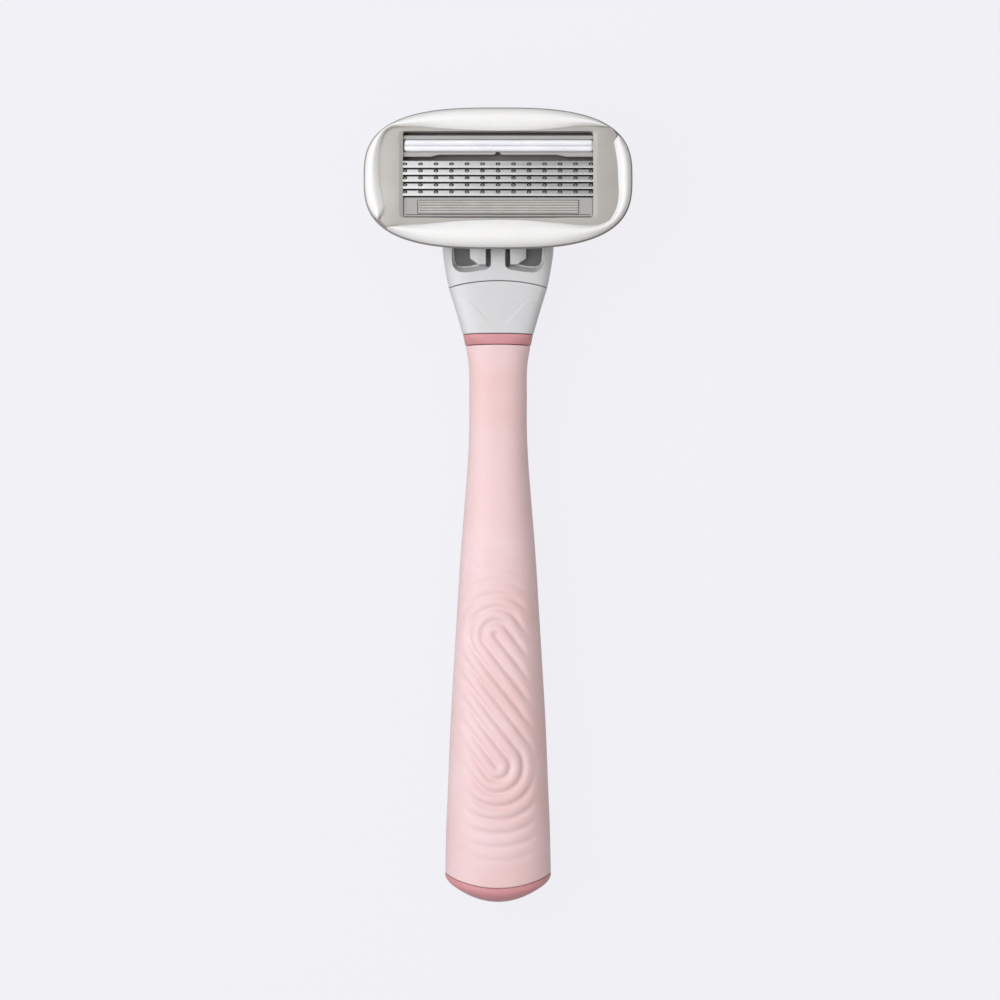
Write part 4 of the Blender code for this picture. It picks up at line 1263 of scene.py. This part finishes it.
    def strip(self) -> bpy.types.Mesh:
        """The lubricating strip: two ridges, each with rounded ends."""
        low, high = self.strip_y
        ridge = (high - low) / 4
        rings = []
        ends = [0.0, 0.03, 0.1, 0.2, 0.32, 0.46, 0.6]
        left, right = self.strip_x
        places = [left + e for e in ends] + list(evenly(left + 1.2, right - 1.2, 40))
        places += [right - e for e in reversed(ends)]
        for x in places:
            from_end = min(x - left, right - x) / 0.6
            full = math.sqrt(max(0.02, 1 - (1 - min(1.0, from_end)) ** 2))
            profile = [(high, -1.4), (low, -1.4)]
            for middle in (low + ridge, high - ridge):
                round_top = arc((middle, -0.5), ridge * full, 180, 0, 14)
                profile += [(y, -0.5 + (z + 0.5) * 1.1) for y, z in round_top]
            flat = np.array(profile)
            rings.append(np.column_stack([np.full(len(flat), x), flat]))
        return loft(rings)

    def guard(self) -> bpy.types.Mesh:
        """The hard bar in front of the blades, with a pocket for the fins."""
        bar = shaped(block((-16.65, 16.65), self.guard_y, (-3.25, -0.35)), bevel=0.08)
        low, high = self.fins_y[0] - 0.07, self.fins_y[1] + 0.07
        pocket = block((-14.2, 14.2), (low, high), (-1.6, 1))
        groove = block((-16.2, 16.2), (-6.58, -6.46), (-0.9, 1))
        return shaped(bar, cuts=[pocket, groove])

    def fins(self) -> bpy.types.Mesh:
        """The rubber insert: five leaning fins with rounded crests."""
        low, high = self.fins_y
        pitch = (low - high) / 5
        profile = [(high, -1.5)]
        for i in range(5):
            y = high + pitch * i
            shape = ((0.0, -0.38), (0.08, -0.2), (0.18, -0.06), (0.5, -0.05))
            shape += ((0.66, -0.11), (0.82, -0.32), (0.92, -0.42))
            profile += [(y + pitch * a, z) for a, z in shape]
        profile += [(low, -0.38), (low, -1.5)]
        return prism(profile, Axis.ACROSS, -14.1, 14.1)

    def on_blade(self, k: int, distance: float, height: float) -> tuple[float, float]:
        """The (y, z) of a point this far back from blade k's edge and above its plane."""
        c, s = math.cos(self.tilt), math.sin(self.tilt)
        return (self.first_edge_y - self.pitch * k + c * distance + s * height, -s * distance + c * height)

    def width(self, k: int) -> float:
        """How wide blade k is: no other blade crowds the first one."""
        return self.blade_width if k else self.first_blade_width

    def blade(self, k: int) -> bpy.types.Mesh:
        """A blade: a double bevel to a fine edge, and rounded back corners."""
        (upper, lower), back = self.faces, self.width(k)
        spots = [(0.0, 0.0), (0.12, upper * 0.55), (self.bevel, upper), (back - 0.02, upper)]
        spots += [(back, upper - 0.02), (back, lower + 0.02), (back - 0.02, lower)]
        spots += [(self.bevel, lower), (0.12, lower * 0.55)]
        half = self.blade_half_length
        return prism([self.on_blade(k, *spot) for spot in spots], Axis.ACROSS, -half, half)

    def support(self, k: int) -> list[tuple[float, float]]:
        """The outline of blade k's bent support."""
        top = self.faces[1] - 0.03
        under = top - self.support_thickness
        rear = self.on_blade(k, self.width(k), top)
        leg_y = rear[0] - self.support_thickness
        meet = self.on_blade(k, 0, under)
        meet_z = meet[1] - (leg_y - meet[0]) * math.tan(self.tilt)
        return [
            self.on_blade(k, self.bevel + 0.05, top), rear, (rear[0], self.support_foot_z),
            (leg_y, self.support_foot_z), (leg_y, meet_z), self.on_blade(k, self.bevel + 0.05, under),
        ]

    def spots(self, k: int, profile: Sequence[tuple[float, float]]) -> bpy.types.Mesh:
        """A row of oval spots welded through a blade.

        Args:
            k: the blade's place in the row, from 0 at the top.
            profile: each spot's (radius, height above the blade), turned round its middle.

        Returns:
            All the spots of this blade as one mesh.
        """
        points, faces = [], []
        turns = evenly(0, 2 * math.pi, 25)[:-1]
        count, rows = len(turns), len(profile)
        for j in range(-self.welds_each_way, self.welds_each_way + 1):
            start = len(points)
            for radius, height in profile:
                for turn in turns:
                    back = self.weld_back + self.weld_oval * radius * math.sin(turn)
                    y, z = self.on_blade(k, back, self.faces[0] + height)
                    points.append((j * self.weld_pitch + radius * math.cos(turn), y, z))
            for row in range(rows):
                here, there = start + row * count, start + (row + 1) % rows * count
                for i in range(count):
                    after = (i + 1) % count
                    faces.append((here + i, there + i, there + after, here + after))
        return mesh_of(np.array(points), faces)

    def build(self) -> None:
        """Makes every piece of the cartridge."""
        body = "cartridge"
        pieces = (
            # the housing's darker grey is painted shade on its rim
            ("cartridge_housing_bowl", self.housing(), HOUSING_PAINTED_SHADE_ABS, "cartridge_housing"),
            ("bezel_soft_frame", self.bezel(), WARM_GREY_ABS, "bezel_frame"),
            ("lobe_upper_soft", self.lobe(self.upper_edge, (5.0, 1.6)), WHITE_ELASTOMER, "glide_lobe_upper"),
            ("lobe_lower_soft", self.lobe(self.lower_edge, (1.6, 1.3)), WHITE_ELASTOMER, "glide_lobe_lower"),
            ("strip_carrier_notched", self.carrier(), PALE_BAR_ABS, "strip_carrier"),
            ("lubricating_strip_ridged", self.strip(), LUBRICATING_POLYMER, "lubricating_strip"),
            ("guard_bar_pocketed", self.guard(), PALE_BAR_ABS, "guard_bar"),
            ("guard_fins_rubber", self.fins(), FIN_RUBBER, "rubber_guard"),
        )
        for name, mesh, finish, node in pieces:
            place(name, self.at_home(mesh), finish, body, [node])
        for k in range(self.blades):
            number = k + 1
            node, under = f"blade_{number}", f"blade_support_{number}"
            place(f"{node}_ground", self.at_home(self.blade(k)), GROUND_STEEL, body, [node], smooth=5)
            bent = prism(self.support(k), Axis.ACROSS, -self.blade_half_length, self.blade_half_length)
            bent = shaped(bent, bevel=0.05, segments=2)
            # the supports' dark steel colour is partly painted shade in the gaps between blades
            place(f"{under}_bent", self.at_home(bent), ROLLED_STEEL_PAINTED_SHADE, body, [under])
            nugget, ring = self.spots(k, self.nugget_profile), self.spots(k, self.ring_profile)
            place(f"weld_nuggets_{number}", self.at_home(nugget), WELD_NUGGET, body)
            place(f"weld_rings_{number}", self.at_home(ring), WELD_OXIDE, body)


# ---------------------------------------------------------------- studio
@dataclass(frozen=True)
class Lamp:
    """A soft rectangular lamp that faces a point of the razor."""

    name: str
    place: tuple[float, float, float]
    size: tuple[float, float]
    watts: float
    colour: str
    facing: tuple[float, float, float] = (0.0, 20.0, 10.0)

    def build(self) -> None:
        """Hangs the lamp."""
        data = bpy.data.lights.new(self.name, "AREA")
        data.shape, data.size, data.size_y = "RECTANGLE", self.size[0] * MM, self.size[1] * MM
        data.energy, data.color = self.watts, linear(self.colour)[:3]
        lamp = bpy.data.objects.new(self.name, data)
        lamp.location = [c * MM for c in self.place]
        towards = np.array(self.facing) - np.array(self.place)
        depth = math.hypot(towards[0], towards[1])
        turn = math.atan2(towards[1], towards[0]) - math.pi / 2
        lamp.rotation_euler = (math.atan2(depth, -towards[2]), 0, turn)
        bpy.context.scene.collection.objects.link(lamp)
        LOG.info("%s: %g W", self.name, self.watts)


@dataclass(frozen=True)
class Studio:
    """The table, the lamps, the even light of the room, and the camera straight above."""

    table_mm: float = 3000.0
    camera: tuple[float, float, float] = (0.345, 1.41, 613.0)
    lens: float = 121.35
    walls_end: float = 0.60
    horizon: float = 0.27
    zenith: float = 0.82
    room: str = "#FBFAFC"
    lamps: tuple[Lamp, ...] = (
        Lamp("blade_panel", (-288, 215, 300), (566, 330), 0.73, "#FCFDFF", (-288, 60, 18)),
        Lamp("edge_strip", (95, 257, 362), (200, 90), 0.075, "#FFFFFF", (95, 57, 16)),
        Lamp("left_bank", (-270, -20, 320), (260, 460), 0.98, "#FCFDFF", (0, 0, 10)),
        Lamp("warm_fill", (380, -160, 240), (220, 420), 0.27, "#FFF3EA"),
    )

    def light_room(self, world: bpy.types.World) -> None:
        """Lights the room: a pale ceiling that falls off to duller walls."""
        world.use_nodes = True
        tree = world.node_tree
        direction = add_node(tree, "ShaderNodeTexCoord").outputs["Generated"]
        up = add_node(tree, "ShaderNodeSeparateXYZ", {0: direction}).outputs[2]
        inputs = {"Value": up, "From Min": self.walls_end, "From Max": 1.0}
        inputs |= {"To Min": self.horizon, "To Max": self.zenith}
        strength = add_node(tree, "ShaderNodeMapRange", inputs).outputs[0]
        background = tree.nodes["Background"]
        background.inputs[0].default_value = linear(self.room)
        tree.links.new(strength, background.inputs[1])

    def lay_table(self, scene: bpy.types.Scene) -> None:
        """Lays the table just under the razor."""
        half = self.table_mm / 2 * MM
        steps = evenly(-half, half, 5)
        points = [(x, y, -0.0002) for y in steps for x in steps]
        corners = [5 * j + i for j in range(4) for i in range(4)]
        mesh = bpy.data.meshes.new("table")
        mesh.from_pydata(points, [], [(c, c + 1, c + 6, c + 5) for c in corners])
        mesh.materials.append(TABLE.material())
        table = bpy.data.objects.new("table", mesh)
        scene.collection.objects.link(table)

    def hang_camera(self, scene: bpy.types.Scene) -> None:
        """Hangs the camera straight above the razor."""
        data = bpy.data.cameras.new("overhead")
        data.lens, data.sensor_width = self.lens, 36.0
        data.clip_start, data.clip_end = 0.01, 20.0
        camera = bpy.data.objects.new("overhead", data)
        camera.location = [c * MM for c in self.camera]
        scene.collection.objects.link(camera)
        scene.camera = camera

    def build(self) -> None:
        """Sets the studio up."""
        scene = bpy.context.scene
        self.lay_table(scene)
        for lamp in self.lamps:
            lamp.build()
        scene.world = bpy.data.worlds.new("studio_room")
        self.light_room(scene.world)
        self.hang_camera(scene)
        scene.view_settings.view_transform = "Standard"


def main() -> None:
    """Builds the razor and its studio."""
    logging.basicConfig(level=logging.INFO, format="%(name)s: %(message)s")
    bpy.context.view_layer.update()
    form = HandleForm()
    Handle(form, GripRelief()).build()
    Neck(form).build()
    Release().build()
    Connector().build()
    Cartridge().build()
    Studio().build()


if __name__ == "__main__":
    main()
